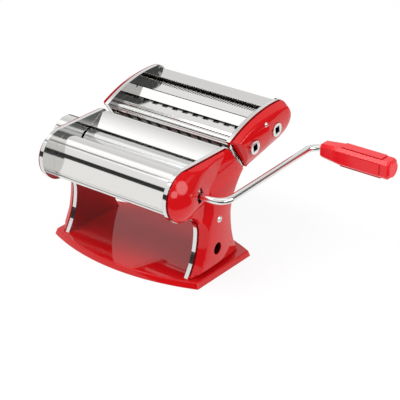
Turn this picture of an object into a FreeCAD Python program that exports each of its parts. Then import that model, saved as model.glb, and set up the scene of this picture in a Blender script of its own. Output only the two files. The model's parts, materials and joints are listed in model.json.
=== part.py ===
import FreeCAD, Part
import math
import os
import Sketcher
from FreeCAD import Placement, Rotation, Vector

# Hand-cranked pasta roller machine: a frame with two smooth rollers, a crank, a thickness knob
# and a cutter head that lifts off. Millimetres and degrees. The origin is on the table under the
# middle of the base, +X runs along the rollers to the crank, +Y to the cutter head, +Z up.

doc = FreeCAD.newDocument("pasta_roller_machine")
sheet = doc.addObject("Spreadsheet::Sheet", "Sizes")
X_WAYS = {"right": 1, "left": -1}


class Size:
    """A length or an angle: its value now, and the expression that ties a feature to the sheet."""

    def __init__(self, value, text):
        self.value = value
        self.text = text

    def __add__(self, other):
        other = sized(other)
        return Size(self.value + other.value, f"({self.text} + {other.text})")

    def __radd__(self, other):
        return sized(other) + self

    def __sub__(self, other):
        other = sized(other)
        return Size(self.value - other.value, f"({self.text} - {other.text})")

    def __rsub__(self, other):
        return sized(other) - self

    def __mul__(self, other):
        other = sized(other)
        return Size(self.value * other.value, f"({self.text} * {other.text})")

    def __rmul__(self, other):
        return sized(other) * self

    def __truediv__(self, other):
        other = sized(other)
        return Size(self.value / other.value, f"({self.text} / {other.text})")

    def __neg__(self):
        return Size(-self.value, f"(0 - {self.text})")


def sized(number):
    """A plain number as a Size."""
    if isinstance(number, Size):
        return number
    return Size(float(number), f"({number:.6f})")


def root(a):
    return Size(math.sqrt(a.value), f"sqrt({a.text})")


def cosine(a):
    return Size(math.cos(math.radians(a.value)), f"cos({a.text})")


def sine(a):
    return Size(math.sin(math.radians(a.value)), f"sin({a.text})")


sheet_rows = []


def size(name, value):
    """Writes a driving size to the sheet, once, and returns it."""
    sheet_rows.append(name)
    row = len(sheet_rows)
    sheet.set(f"A{row}", name)
    sheet.set(f"B{row}", str(value))
    sheet.setAlias(f"B{row}", name)
    return Size(value, f"Sizes.{name}")


# Fits shared by the whole machine
running_fit = size("running_fit", 0.04)
slide_gap = size("slide_gap", 0.3)
free_gap = size("free_gap", 0.6)

# Frame: base tray, two pressed plates and their rims
inner_gap = size("inner_gap", 156.0)
plate_wall = size("plate_wall", 1.5)
rim_depth = size("rim_depth", 4.5)
rim_wall = size("rim_wall", 1.4)
base_end_margin = size("base_end_margin", 14.8)
base_end_depth = size("base_end_depth", 89.0)
base_bow = size("base_bow", 20.0)
base_height = size("base_height", 7.0)
base_slope = size("base_slope", 2.0)
base_wall = size("base_wall", 1.4)

# Outline of the side plates, seen along the rollers
bulb_y = size("bulb_y", -48.5)
bulb_z = size("bulb_z", 101.5)
bulb_radius = size("bulb_radius", 27.2)
waist_front_y = size("waist_front_y", -27.5)
waist_rear_y = size("waist_rear_y", 24.5)
waist_rear_z = size("waist_rear_z", 58.0)
foot_front_y = size("foot_front_y", -43.0)
foot_rear_y = size("foot_rear_y", 38.5)
horn_y = size("horn_y", 46.8)
horn_z = size("horn_z", 98.0)
peak_y = size("peak_y", 20.5)
peak_round = size("peak_round", 3.5)

# Pressed side covers: two crowned forms, the wing over the rollers and the leg
cover_inset = size("cover_inset", 0.8)
cover_wall = size("cover_wall", 1.2)
cover_lip = size("cover_lip", 1.0)
cover_side_wall = size("cover_side_wall", 1.8)
draw_in = size("draw_in", 8.0)
draw_height = size("draw_height", 12.5)
wing_bulge = size("wing_bulge", 13.0)
wing_long_radius = size("wing_long_radius", 400.0)
wing_across_radius = size("wing_across_radius", 50.0)
wing_lean = size("wing_lean", 28.0)
leg_bulge = size("leg_bulge", 10.5)
leg_long_radius = size("leg_long_radius", 600.0)
leg_across_radius = size("leg_across_radius", 78.0)
leg_lean = size("leg_lean", 12.5)
leg_crown_y = size("leg_crown_y", 6.5)
leg_crown_z = size("leg_crown_z", 85.0)
clamp_hole_y = size("clamp_hole_y", -6.5)
clamp_hole_z = size("clamp_hole_z", 29.5)
clamp_hole_radius = size("clamp_hole_radius", 6.5)
side_screw_y = size("side_screw_y", -4.0)
side_screw_z = size("side_screw_z", 61.5)
side_screw_radius = size("side_screw_radius", 2.0)
side_screw_head = size("side_screw_head", 3.6)
head_crown_share = size("head_crown_share", 0.6)
head_side_share = size("head_side_share", 0.4)
base_screw_radius = size("base_screw_radius", 1.50)
base_screw_head = size("base_screw_head", 2.88)
base_screw_share = size("base_screw_share", 0.6)
cutter_screw_head = size("cutter_screw_head", 2.88)
head_height = size("head_height", 1.8)

# Smooth rollers
front_axis_y = size("front_axis_y", -36.0)
axis_z = size("axis_z", 100.0)
roller_radius = size("roller_radius", 14.8)
widest_gap = size("widest_gap", 2.8)
finest_gap = size("finest_gap", 0.4)
roller_end_gap = size("roller_end_gap", 1.5)
journal_radius = size("journal_radius", 7.0)
bush_wall = size("bush_wall", 2.5)
bush_flange = size("bush_flange", 1.0)
neck_radius = size("neck_radius", 9.0)
neck_bore = size("neck_bore", 6.9)
roller_bore = size("roller_bore", 10.0)
roller_bush_length = size("roller_bush_length", 12.0)
gear_stand_off = size("gear_stand_off", 1.0)
gear_width = size("gear_width", 4.5)
gear_teeth = 12
gear_backlash = size("gear_backlash", 0.3)
gear_foot_share = size("gear_foot_share", 1.2)
pressure_angle = size("pressure_angle", 25.0)

# Crank
rod_radius = size("rod_radius", 3.6)
keyhole_gap = size("keyhole_gap", 1.3)
socket_depth = size("socket_depth", 11.0)
socket_length = size("socket_length", 5.5)
drive_pin_radius = size("drive_pin_radius", 1.5)
drive_pin_length = size("drive_pin_length", 13.0)
crank_stand_off = size("crank_stand_off", 38.5)
crank_throw = size("crank_throw", 156.0)
crank_bend = size("crank_bend", 14.0)
crank_rise = size("crank_rise", 2.0)
grip_length = size("grip_length", 81.0)
grip_chamfer = size("grip_chamfer", 2.5)
grip_taper = size("grip_taper", 21.0)
grip_collar = size("grip_collar", 8.0)
grip_tip_flat = size("grip_tip_flat", 5.6)
grip_nose_flat = size("grip_nose_flat", 7.1)
grip_flat = size("grip_flat", 9.2)
grip_corner_share = size("grip_corner_share", 1.087)
grip_pad_face = size("grip_pad_face", 10.2)
grip_pad_half = size("grip_pad_half", 4.9)
grip_cap_radius = size("grip_cap_radius", 8.6)
grip_cap = size("grip_cap", 2.0)

# Thickness setting: an eccentric shaft through the hollow rear roller
knob_turn = size("knob_turn", 144.0)
click_count = 9
shaft_radius = size("shaft_radius", 4.0)
barrel_radius = size("barrel_radius", 6.0)
barrel_play = size("barrel_play", 0.25)
stem_radius = size("stem_radius", 8.0)
dial_radius = size("dial_radius", 15.0)
dial_stand_off = size("dial_stand_off", 14.0)
dial_wall = size("dial_wall", 3.0)
track_radius = size("track_radius", 10.5)
track_depth = size("track_depth", 1.6)
track_end = size("track_end", 14.0)
knob_pin_radius = size("knob_pin_radius", 1.8)
knob_pin_seat = size("knob_pin_seat", 1.6)
click_hole_radius = size("click_hole_radius", 1.0)
knob_radius = size("knob_radius", 21.5)
knob_length = size("knob_length", 18.8)
knob_round = size("knob_round", 4.0)
knob_hub = size("knob_hub", 4.6)
knob_well = size("knob_well", 9.2)
knob_cap_wall = size("knob_cap_wall", 2.0)
spring_wire = size("spring_wire", 0.5)
spring_radius = size("spring_radius", 6.0)
spring_length = size("spring_length", 8.4)
spring_turns = size("spring_turns", 3.0)
nut_radius = size("nut_radius", 7.0)
nut_height = size("nut_height", 3.0)

# Sheets and scrapers between the plates
sheet_wall = size("sheet_wall", 1.0)
front_cover_radius = size("front_cover_radius", 21.0)
front_cover_y = size("front_cover_y", -38.0)
front_cover_low = size("front_cover_low", 86.0)
front_cover_lean = size("front_cover_lean", 1.0)
guide_lip_y = size("guide_lip_y", -2.5)
guide_lip_z = size("guide_lip_z", 117.2)
guide_top_y = size("guide_top_y", 15.5)
guide_top_z = size("guide_top_z", 126.8)
rear_wall_y = size("rear_wall_y", 20.5)
rear_wall_low = size("rear_wall_low", 86.0)
tie_rod_radius = size("tie_rod_radius", 3.0)
front_rod_y = size("front_rod_y", -54.5)
front_rod_z = size("front_rod_z", 80.5)
rear_rod_y = size("rear_rod_y", 15.0)
rear_rod_z = size("rear_rod_z", 83.5)
scraper_reach = size("scraper_reach", 9.0)
scraper_wall = size("scraper_wall", 0.8)

# Cutter head: outline of its side plates, seen along the rollers
cutter_front_low_y = size("cutter_front_low_y", 50.5)
cutter_front_low_z = size("cutter_front_low_z", 95.5)
cutter_front_top_y = size("cutter_front_top_y", 25.5)
cutter_front_top_z = size("cutter_front_top_z", 131.6)
cutter_end_y = size("cutter_end_y", 103.0)
cutter_end_z = size("cutter_end_z", 129.2)
cutter_end_radius = size("cutter_end_radius", 22.9)
cutter_end_low = size("cutter_end_low", -67.0)
cutter_end_high = size("cutter_end_high", 68.0)
cutter_top_radius = size("cutter_top_radius", 161.0)
cutter_bulge = size("cutter_bulge", 11.8)
cutter_long_radius = size("cutter_long_radius", 400.0)
cutter_across_radius = size("cutter_across_radius", 52.0)
cutter_lean = size("cutter_lean", 13.0)
cutter_crown_y = size("cutter_crown_y", 78.0)
cutter_crown_z = size("cutter_crown_z", 124.0)

# Cutter rollers: two grooved pairs on one slanted line of axes
cutter_axis_y = size("cutter_axis_y", 53.0)
cutter_axis_z = size("cutter_axis_z", 119.8)
cutter_line_slope = size("cutter_line_slope", 9.2)
cutter_pair_gap = size("cutter_pair_gap", 17.5)
cutter_pair_pitch = size("cutter_pair_pitch", 38.8)
cutter_roller_radius = size("cutter_roller_radius", 9.5)
cutter_core_radius = size("cutter_core_radius", 7.4)
cutter_roller_end_gap = size("cutter_roller_end_gap", 3.2)
cutter_journal = size("cutter_journal", 5.4)
cutter_bush_wall = size("cutter_bush_wall", 2.0)
cutter_gear_teeth = 10
cutter_gear_width = size("cutter_gear_width", 4.4)
cutter_gear_tip_share = size("cutter_gear_tip_share", 0.8)
cutter_gear_foot_share = size("cutter_gear_foot_share", 1.08)
wide_ribbon = size("wide_ribbon", 6.75)
wide_discs = 11
fine_ribbon = size("fine_ribbon", 3.2)
fine_discs = 22
disc_play = size("disc_play", 0.2)
socket_radius = size("socket_radius", 7.4)
socket_square = size("socket_square", 7.0)
socket_proud = size("socket_proud", 0.8)

# Cutter sheets
cutter_rail_y = size("cutter_rail_y", 38.0)
cutter_rail_z = size("cutter_rail_z", 127.4)
cutter_rail_radius = size("cutter_rail_radius", 3.2)
tray_front_y = size("tray_front_y", 41.5)
tray_step_y = size("tray_step_y", 45.0)
tray_z = size("tray_z", 131.6)
tray_front_z = size("tray_front_z", 128.6)
apron_low = size("apron_low", 119.4)
wide_slot_front = size("wide_slot_front", 59.2)
wide_slot = size("wide_slot", 4.8)
notch_width = size("notch_width", 7.2)
notch_depth = size("notch_depth", 2.6)
ridge_y = size("ridge_y", 75.0)
ridge_z = size("ridge_z", 138.4)
fine_lip_y = size("fine_lip_y", 98.4)
fine_lip_z = size("fine_lip_z", 138.0)
fine_slot = size("fine_slot", 4.6)
comb_teeth = 62
comb_depth = size("comb_depth", 2.4)
rear_lip_z = size("rear_lip_z", 141.0)
rear_lip_drop = size("rear_lip_drop", 2.4)
rear_crest_y = size("rear_crest_y", 117.0)
rear_crest_z = size("rear_crest_z", 145.2)
rear_back_y = size("rear_back_y", 124.6)
rear_back_z = size("rear_back_z", 128.0)
rear_crest_radius = size("rear_crest_radius", 24.0)
rear_hem_y = size("rear_hem_y", 118.4)
rear_hem_z = size("rear_hem_z", 114.5)
rear_back_radius = size("rear_back_radius", 30.0)
comb_wall = size("comb_wall", 1.0)
comb_bar = size("comb_bar", 6.0)
comb_finger = size("comb_finger", 4.6)
fine_finger = size("fine_finger", 1.4)
cutter_rod_low_y = size("cutter_rod_low_y", 79.0)
cutter_rod_low_z = size("cutter_rod_low_z", 106.6)
cutter_rod_rear_y = size("cutter_rod_rear_y", 113.6)
cutter_rod_rear_z = size("cutter_rod_rear_z", 116.5)
cutter_screw_y = size("cutter_screw_y", 73.5)
cutter_screw_z = size("cutter_screw_z", 137.0)

# Hooks of the cutter head and the pins that carry them
hook_wall = size("hook_wall", 2.5)
hook_side = size("hook_side", 4.6)
hook_end = size("hook_end", 5.0)
hook_root = size("hook_root", 16.0)
hook_mouth = size("hook_mouth", 20.0)
hook_pin_radius = size("hook_pin_radius", 3.0)
hook_pin_play = size("hook_pin_play", 0.15)
upper_pin_y = size("upper_pin_y", 28.0)
upper_pin_z = size("upper_pin_z", 113.5)
lower_pin_y = size("lower_pin_y", 38.5)
lower_pin_z = size("lower_pin_z", 101.5)

doc.recompute()

# Places that follow from the driving sizes
inner_x = inner_gap / 2
plate_face = inner_x + plate_wall
seat_x = inner_x + rim_depth
base_length = 2 * (seat_x + base_end_margin)
wing_face = seat_x + wing_bulge
leg_face = seat_x + leg_bulge
crank_plane = seat_x + crank_stand_off
dial_face = seat_x + dial_stand_off
gap_travel = widest_gap - finest_gap
rear_axis_y = front_axis_y + 2 * roller_radius + widest_gap
knob_axis_y = rear_axis_y - gap_travel / 2
eccentricity = gap_travel / (2 * sine(knob_turn / 2))
barrel_angle = 90 - knob_turn / 2
knob_axis_z = axis_z - eccentricity * (1 + sine(barrel_angle)) / 2
roller_half = inner_x - roller_end_gap
gear_x = plate_face + gear_stand_off
gear_end = gear_x + gear_width
cutter_gap = inner_gap - 2 * slide_gap
cutter_inner_x = cutter_gap / 2
cutter_face = cutter_inner_x + rim_depth + cutter_bulge
cutter_plate_face = cutter_inner_x + plate_wall
cutter_roller_half = cutter_inner_x - cutter_roller_end_gap
cutter_gear_x = cutter_plate_face + cutter_bush_wall


def own_plane(body, role):
    """The origin plane of a body with this role."""
    return next(f for f in body.Origin.OriginFeatures if f.Role == role)


def new_body(name):
    body = doc.addObject("PartDesign::Body", name)
    body.Label = name
    return body


def pin_point(sketch, geometry, end, x, y):
    """Ties one end of a line or arc to the sheet, by its distances from the sketch's origin."""
    for kind, axis, place in (("DistanceX", -2, sized(x)), ("DistanceY", -1, sized(y))):
        if abs(place.value) < 1e-9:
            sketch.addConstraint(Sketcher.Constraint("PointOnObject", geometry, end, axis))
        elif place.value > 0:
            number = sketch.addConstraint(
                Sketcher.Constraint(kind, -1, 1, geometry, end, place.value)
            )
            sketch.setExpression(f"Constraints[{number}]", place.text)
        else:
            number = sketch.addConstraint(
                Sketcher.Constraint(kind, geometry, end, -1, 1, -place.value)
            )
            sketch.setExpression(f"Constraints[{number}]", (-place).text)


def arc_between(start, end, radius):
    """An arc from start to end: a positive radius turns left, a negative one right."""
    middle = (start + end) * 0.5
    along = end - start
    left = Vector(-along.y, along.x, 0).normalize()
    height = math.sqrt(max(radius * radius - (along.Length / 2) ** 2, 0.0))
    centre = middle + left * math.copysign(height, radius)
    first, last = (start, end) if radius > 0 else (end, start)
    circle = Part.Circle(centre, Vector(0, 0, 1), abs(radius))
    angles = [math.atan2(p.y - centre.y, p.x - centre.x) for p in (first, last)]
    return Part.ArcOfCircle(circle, angles[0], angles[1])


def draw_loop(sketch, corners, closed=True):
    """Draws a run of lines and arcs. Each corner is x, y and, where an arc follows, its radius."""
    count = len(corners)
    places = [Vector(sized(c[0]).value, sized(c[1]).value, 0) for c in corners]
    first = sketch.GeometryCount
    ends = []
    for i in range(count if closed else count - 1):
        start, end = places[i], places[(i + 1) % count]
        if len(corners[i]) == 2:
            number = sketch.addGeometry(Part.LineSegment(start, end))
            ends.append((1, 2))
            continue
        radius = corners[i][2]
        number = sketch.addGeometry(arc_between(start, end, radius.value))
        ends.append((1, 2) if radius.value > 0 else (2, 1))
        limit = sketch.addConstraint(Sketcher.Constraint("Radius", number, abs(radius.value)))
        sketch.setExpression(
            f"Constraints[{limit}]", radius.text if radius.value > 0 else (-radius).text
        )
    runs = len(ends)
    for i in range(runs if closed else runs - 1):
        after = (i + 1) % runs
        sketch.addConstraint(
            Sketcher.Constraint("Coincident", first + i, ends[i][1], first + after, ends[after][0])
        )
    for i in range(runs):
        pin_point(sketch, first + i, ends[i][0], corners[i][0], corners[i][1])
    if not closed:
        pin_point(sketch, first + runs - 1, ends[-1][1], corners[-1][0], corners[-1][1])


def draw_circle(sketch, x, y, radius):
    """Draws a circle whose centre and radius are tied to the sheet."""
    centre = Vector(sized(x).value, sized(y).value, 0)
    circle = Part.Circle(centre, Vector(0, 0, 1), radius.value)
    number = sketch.addGeometry(circle)
    limit = sketch.addConstraint(Sketcher.Constraint("Radius", number, radius.value))
    sketch.setExpression(f"Constraints[{limit}]", radius.text)
    pin_point(sketch, number, 3, x, y)


def new_sketch(body, role, offset=None):
    """An empty sketch on one of the body's own planes, moved along the plane's normal."""
    sketch = body.newObject("Sketcher::SketchObject", f"{body.Name}_sketch")
    sketch.AttachmentSupport = [(own_plane(body, role), "")]
    sketch.MapMode = "FlatFace"
    if offset is not None:
        sketch.setExpression("AttachmentOffset.Base.z", offset.text)
    return sketch


def pad(body, sketch, length):
    """Raises a sketch along its plane's normal."""
    feature = body.newObject("PartDesign::Pad", f"{body.Name}_pad")
    feature.Profile = sketch
    feature.setExpression("Length", length.text)
    return feature


def pocket_both_ways(body, sketch):
    """Cuts a sketch right through the body, on both sides of the sketch's plane."""
    feature = body.newObject("PartDesign::Pocket", f"{body.Name}_pocket")
    feature.Profile = sketch
    feature.Type = "ThroughAll"
    feature.SideType = "Symmetric"
    return feature


def repeat_along_x(body, feature, sketch, length, count):
    """Repeats a feature count times, the first and the last a length apart along X."""
    pattern = body.newObject("PartDesign::LinearPattern", f"{body.Name}_row")
    pattern.Originals = [feature]
    pattern.Direction = (sketch, ["H_Axis"])
    pattern.setExpression("Length", length.text)
    pattern.Occurrences = count
    body.Tip = pattern
    return pattern


def add_slab(body, x, length, loops, circles=()):
    """Adds a slab to a body: closed outlines in Y and Z, from x on for a length along +X."""
    sketch = new_sketch(body, "YZ_Plane", x)
    for corners in loops:
        draw_loop(sketch, corners)
    for y, z, radius in circles:
        draw_circle(sketch, y, z, radius)
    return pad(body, sketch, length)


def slab(name, x, length, loops, circles=()):
    body = new_body(name)
    add_slab(body, x, length, loops, circles)
    return body


def turned(name, profile, y, z, spin=None):
    """A body turned about an axis along X through y, z. The profile's corners are x and radius."""
    body = new_body(name)
    sketch = new_sketch(body, "XZ_Plane")
    draw_loop(sketch, profile)
    feature = body.newObject("PartDesign::Revolution", f"{name}_turn")
    feature.Profile = sketch
    feature.ReferenceAxis = (sketch, ["H_Axis"])
    feature.Angle = 360.0
    set_on_axis(body, y, z, spin)
    return body


def set_on_axis(body, y, z, spin=None):
    """Stands a body made about the X axis on the axis through y, z, turned by spin about it."""
    body.Placement = Placement(Vector(0, 0, 0), Rotation(Vector(1, 0, 0), 0))
    body.setExpression("Placement.Base.y", sized(y).text)
    body.setExpression("Placement.Base.z", sized(z).text)
    if spin is not None:
        body.setExpression("Placement.Rotation.Angle", spin.text)


def rod_along_x(name, x, length, y, z, radius):
    """A plain round bar along X."""
    bar = doc.addObject("Part::Cylinder", name)
    bar.Label = name
    bar.Placement = Placement(Vector(0, 0, 0), Rotation(Vector(0, 1, 0), 90))
    bar.setExpression("Radius", radius.text)
    bar.setExpression("Height", length.text)
    for axis, place in (("x", x), ("y", y), ("z", z)):
        bar.setExpression(f"Placement.Base.{axis}", sized(place).text)
    return bar


def cut(name, base, tools):
    """What is left of base once the tools are taken away."""
    tool = tools[0]
    if len(tools) > 1:
        tool = doc.addObject("Part::MultiFuse", f"{name}_tools")
        tool.Shapes = tools
    result = doc.addObject("Part::Cut", name)
    result.Label = name
    result.Base = base
    result.Tool = tool
    return result


def group(name, members):
    """Like pieces that share one node, each its own solid."""
    result = doc.addObject("Part::Compound", name)
    result.Label = name
    result.Links = members
    return result


def mirrored(name, source):
    """The same piece on the other side of the machine."""
    result = doc.addObject("Part::Mirroring", name)
    result.Label = name
    result.Source = source
    result.Normal = Vector(1, 0, 0)
    return result


def both_sides(name, make):
    """A right-hand piece and its mirror image, in one node."""
    right = make(f"{name}_right")
    return group(name, [right, mirrored(f"{name}_left", right)])


kept = {}


def keep(item):
    """Marks an object of the document as a sub-part that is written out."""
    kept[item.Label] = item
    return item


# Outlines


def unit_between(start, end):
    """The unit direction from one point to another, as two sizes."""
    run, rise = end[0] - start[0], end[1] - start[1]
    length = root(run * run + rise * rise)
    return run / length, rise / length


def frame_outline(inset, floor=0):
    """The side plates' outline in Y and Z, drawn in by inset: the bulb round the front roller, the
    waisted leg, the horn and the slanted rear edge up to the peak. floor lifts the foot."""
    bulb = bulb_radius - inset
    top = bulb_z + bulb
    low = base_height + floor
    scoop = waist_front_y - bulb_y
    waist_front_z = bulb_z - bulb_radius - scoop
    leg_height = waist_front_z - base_height
    toe = waist_front_y - foot_front_y
    front_radius = (toe * toe + leg_height * leg_height) / (2 * toe)
    heel_height = waist_rear_z - base_height
    heel = foot_rear_y - waist_rear_y
    rear_radius = (heel * heel + heel_height * heel_height) / (2 * heel)
    horn_out = horn_y - waist_rear_y
    horn_up = horn_z - waist_rear_z
    horn_radius = (horn_out * horn_out + horn_up * horn_up) / (2 * horn_out)
    slant_y, slant_z = unit_between((horn_y, horn_z), (peak_y, bulb_z + bulb_radius))
    scoop_y = (horn_out - horn_radius) / horn_radius
    scoop_z = horn_up / horn_radius
    skew = slant_z * scoop_z + slant_y * scoop_y
    horn = (
        horn_y - inset * (scoop_z - slant_y) / skew,
        horn_z + inset * (slant_z + scoop_y) / skew,
    )
    peak = peak_y - inset * (1 + slant_y) / slant_z
    tangent = peak_round * root((1 + slant_y) / (1 - slant_y))
    return [
        (peak - slant_y * tangent, top - slant_z * tangent, peak_round),
        (peak - tangent, top),
        (bulb_y, top, bulb),
        (bulb_y - bulb, bulb_z, bulb),
        (bulb_y, bulb_z - bulb, -(scoop + inset)),
        (waist_front_y + inset, waist_front_z, -(front_radius + inset)),
        (foot_front_y + inset, low),
        (foot_rear_y - inset, low, -(rear_radius + inset)),
        (waist_rear_y - inset, waist_rear_z, -(horn_radius + inset)),
        horn,
    ]


def drawn_corner(corner, arriving, leaving, inset):
    """Where a corner of an outline moves to when both of its edges are drawn in."""
    skew = 1 + arriving[0] * leaving[0] + arriving[1] * leaving[1]
    return (
        corner[0] - inset * (arriving[1] + leaving[1]) / skew,
        corner[1] + inset * (arriving[0] + leaving[0]) / skew,
    )


def arc_heading(start, end, radius):
    """The direction of an arc that turns left from start to end, where it arrives."""
    run, rise = unit_between(start, end)
    across, up = end[0] - start[0], end[1] - start[1]
    lean = root(across * across + up * up) / (2 * radius)
    straight = root(1 - lean * lean)
    return run * straight - rise * lean, run * lean + rise * straight


def on_cutter_end(radius, angle):
    return cutter_end_y + radius * cosine(angle), cutter_end_z + radius * sine(angle)


def cutter_outline(inset):
    """The cutter head's side plate in Y and Z, drawn in by inset."""
    front = (cutter_front_top_y, cutter_front_top_z)
    low = (cutter_front_low_y, cutter_front_low_z)
    slope = unit_between(front, low)
    floor = unit_between(low, on_cutter_end(cutter_end_radius, cutter_end_low))
    top = arc_heading(on_cutter_end(cutter_end_radius, cutter_end_high), front, cutter_top_radius)
    end = cutter_end_radius - inset
    return [
        drawn_corner(front, top, slope, inset),
        drawn_corner(low, slope, floor, inset),
        (*on_cutter_end(end, cutter_end_low), end),
        (*on_cutter_end(end, cutter_end_high), cutter_top_radius - inset),
    ]


def crown(name, face, y, z, long_radius, across_radius, lean, sink):
    """A barrel-shaped body whose crown touches x = face at y, z. It curves by long_radius along a
    line that leans from +Y by lean, and by across_radius across it. sink draws its skin in."""
    ring = doc.addObject("Part::Torus", name)
    across = across_radius - sink
    ring.Placement = Placement(Vector(0, 0, 0), Rotation(Vector(0, 0, 1), 180))
    ring.setExpression("Radius1", (long_radius - across_radius).text)
    ring.setExpression("Radius2", across.text)
    ring.setExpression("Placement.Rotation.Axis.y", (-sine(lean / 2)).text)
    ring.setExpression("Placement.Rotation.Axis.z", cosine(lean / 2).text)
    ring.setExpression("Placement.Base.x", (face - long_radius).text)
    ring.setExpression("Placement.Base.y", y.text)
    ring.setExpression("Placement.Base.z", z.text)
    return ring


def drawn_block(name, x, outline, inset):
    """A block with drawn sides from x on: an upright lip, then walls that lean in."""
    body = slab(name, x, cover_lip, [outline(inset)])
    low = new_sketch(body, "YZ_Plane", x + cover_lip)
    draw_loop(low, outline(inset))
    high = new_sketch(body, "YZ_Plane", x + cover_lip + draw_height)
    draw_loop(high, outline(inset + draw_in))
    walls = body.newObject("PartDesign::AdditiveLoft", f"{name}_walls")
    walls.Profile = low
    walls.Sections = [high]
    walls.Ruled = True
    return body


def mounds_under(name, x, outline, inset, crowns):
    """The parts of a drawn block that lie under each of the crowns."""
    mounds = []
    for i, roof in enumerate(crowns):
        mound = doc.addObject("Part::Common", f"{name}_mound_{i}")
        mound.Base = drawn_block(f"{name}_block_{i}", x, outline, inset)
        mound.Tool = roof
        mounds.append(mound)
    return mounds


def pressed_shell(name, x, outline, crowns_of):
    """A hollow pressing on a seat at x: crowned mounds over a low level lip, drawn from one sheet."""
    skin = doc.addObject("Part::MultiFuse", f"{name}_skin")
    skin.Shapes = [
        slab(f"{name}_lip", x, cover_lip, [outline(cover_inset)]),
        *mounds_under(f"{name}_out", x, outline, cover_inset, crowns_of(f"{name}_outer", sized(0))),
    ]
    inside = mounds_under(
        f"{name}_in",
        x,
        outline,
        cover_inset + cover_side_wall,
        crowns_of(f"{name}_inner", cover_wall),
    )
    return cut(name, skin, inside)


# Base: a pressed tray with bowed long sides and sloping edges, open underneath


def base_outline(inset):
    half = base_length / 2 - inset
    depth = base_end_depth / 2 - inset
    bow_radius = (half * half + base_bow * base_bow) / (2 * base_bow)
    return [(half, -depth), (half, depth, bow_radius), (-half, depth), (-half, -depth, bow_radius)]


def base_tray(name):
    body = new_body(name)
    rim = new_sketch(body, "XY_Plane")
    draw_loop(rim, base_outline(sized(0)))
    top = new_sketch(body, "XY_Plane", base_height)
    draw_loop(top, base_outline(base_slope))
    skin = body.newObject("PartDesign::AdditiveLoft", f"{name}_skin")
    skin.Profile = rim
    skin.Sections = [top]
    skin.Ruled = True
    inner_rim = new_sketch(body, "XY_Plane")
    draw_loop(inner_rim, base_outline(base_wall * 2))
    inner_top = new_sketch(body, "XY_Plane", base_height - base_wall)
    draw_loop(inner_top, base_outline(base_slope + base_wall * 2))
    hollow = body.newObject("PartDesign::SubtractiveLoft", f"{name}_hollow")
    hollow.Profile = inner_rim
    hollow.Sections = [inner_top]
    hollow.Ruled = True
    return body


keep(base_tray("base_plate"))

# Inner plates: pressed sheet with a turned-out rim all round

bush_hole = journal_radius + running_fit + bush_wall
neck_slot = neck_radius + free_gap
rear_travel_y = rear_axis_y - gap_travel
neck_window = [
    (rear_axis_y, axis_z - neck_slot, neck_slot),
    (rear_axis_y + neck_slot, axis_z, neck_slot),
    (rear_axis_y, axis_z + neck_slot),
    (rear_travel_y, axis_z + neck_slot, neck_slot),
    (rear_travel_y - neck_slot, axis_z, neck_slot),
    (rear_travel_y, axis_z - neck_slot),
]


def frame_plate(name, side):
    """A plate with the holes of its side: on the right the clamp and the rear roller's neck, on the
    left the stem of the dial."""
    body = new_body(name)
    holes = [(front_axis_y, axis_z, bush_hole)]
    loops = [frame_outline(sized(0))]
    if side == "right":
        holes.append((clamp_hole_y, clamp_hole_z, clamp_hole_radius))
        loops.append(neck_window)
    else:
        holes.append((knob_axis_y, knob_axis_z, shaft_radius + free_gap))
    web_x = inner_x if side == "right" else -plate_face
    rim_x = inner_x if side == "right" else -seat_x
    add_slab(body, web_x, plate_wall, loops, holes)
    add_slab(body, rim_x, rim_depth, [frame_outline(sized(0)), frame_outline(rim_wall, rim_wall)])
    return body


for hand in X_WAYS:
    keep(frame_plate(f"{hand}_inner_plate", hand))

# Side covers: one pressing for both sides, pierced for the crank on the right and the dial on the left


def frame_crowns(name, sink):
    wing = crown(
        f"{name}_wing",
        wing_face,
        bulb_y,
        bulb_z,
        wing_long_radius,
        wing_across_radius,
        wing_lean,
        sink,
    )
    leg = crown(
        f"{name}_leg",
        leg_face,
        leg_crown_y,
        leg_crown_z,
        leg_long_radius,
        leg_across_radius,
        90 - leg_lean,
        sink,
    )
    return [wing, leg]


def slot_tool(name, y, z, half_width, half_length, spin):
    """A long square bar along X that cuts an upright slot."""
    body = slab(
        name,
        inner_x,
        inner_gap,
        [
            [
                (half_width, -half_length),
                (half_width, half_length),
                (-half_width, half_length),
                (-half_width, -half_length),
            ]
        ],
    )
    set_on_axis(body, y, z, spin)
    return body


pressing = pressed_shell("cover_pressing", seat_x, frame_outline, frame_crowns)
crank_hole = rod_along_x("crank_hole", inner_x, inner_gap, front_axis_y, axis_z, rod_radius + keyhole_gap)
crank_slot = slot_tool(
    "crank_slot",
    front_axis_y,
    axis_z,
    drive_pin_radius + keyhole_gap,
    drive_pin_length / 2 + keyhole_gap,
    crank_rise,
)
clamp_hole = rod_along_x("clamp_hole", inner_x, inner_gap, clamp_hole_y, clamp_hole_z, clamp_hole_radius)
keep(cut("right_side_cover", pressing, [crank_hole, crank_slot, clamp_hole]))
stem_hole = rod_along_x("stem_hole", -inner_gap, inner_x, knob_axis_y, knob_axis_z, stem_radius + free_gap)
keep(cut("left_side_cover", mirrored("left_pressing", pressing), [stem_hole]))

# Sheets between the plates: the curved front cover and the bent rear cover

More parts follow.
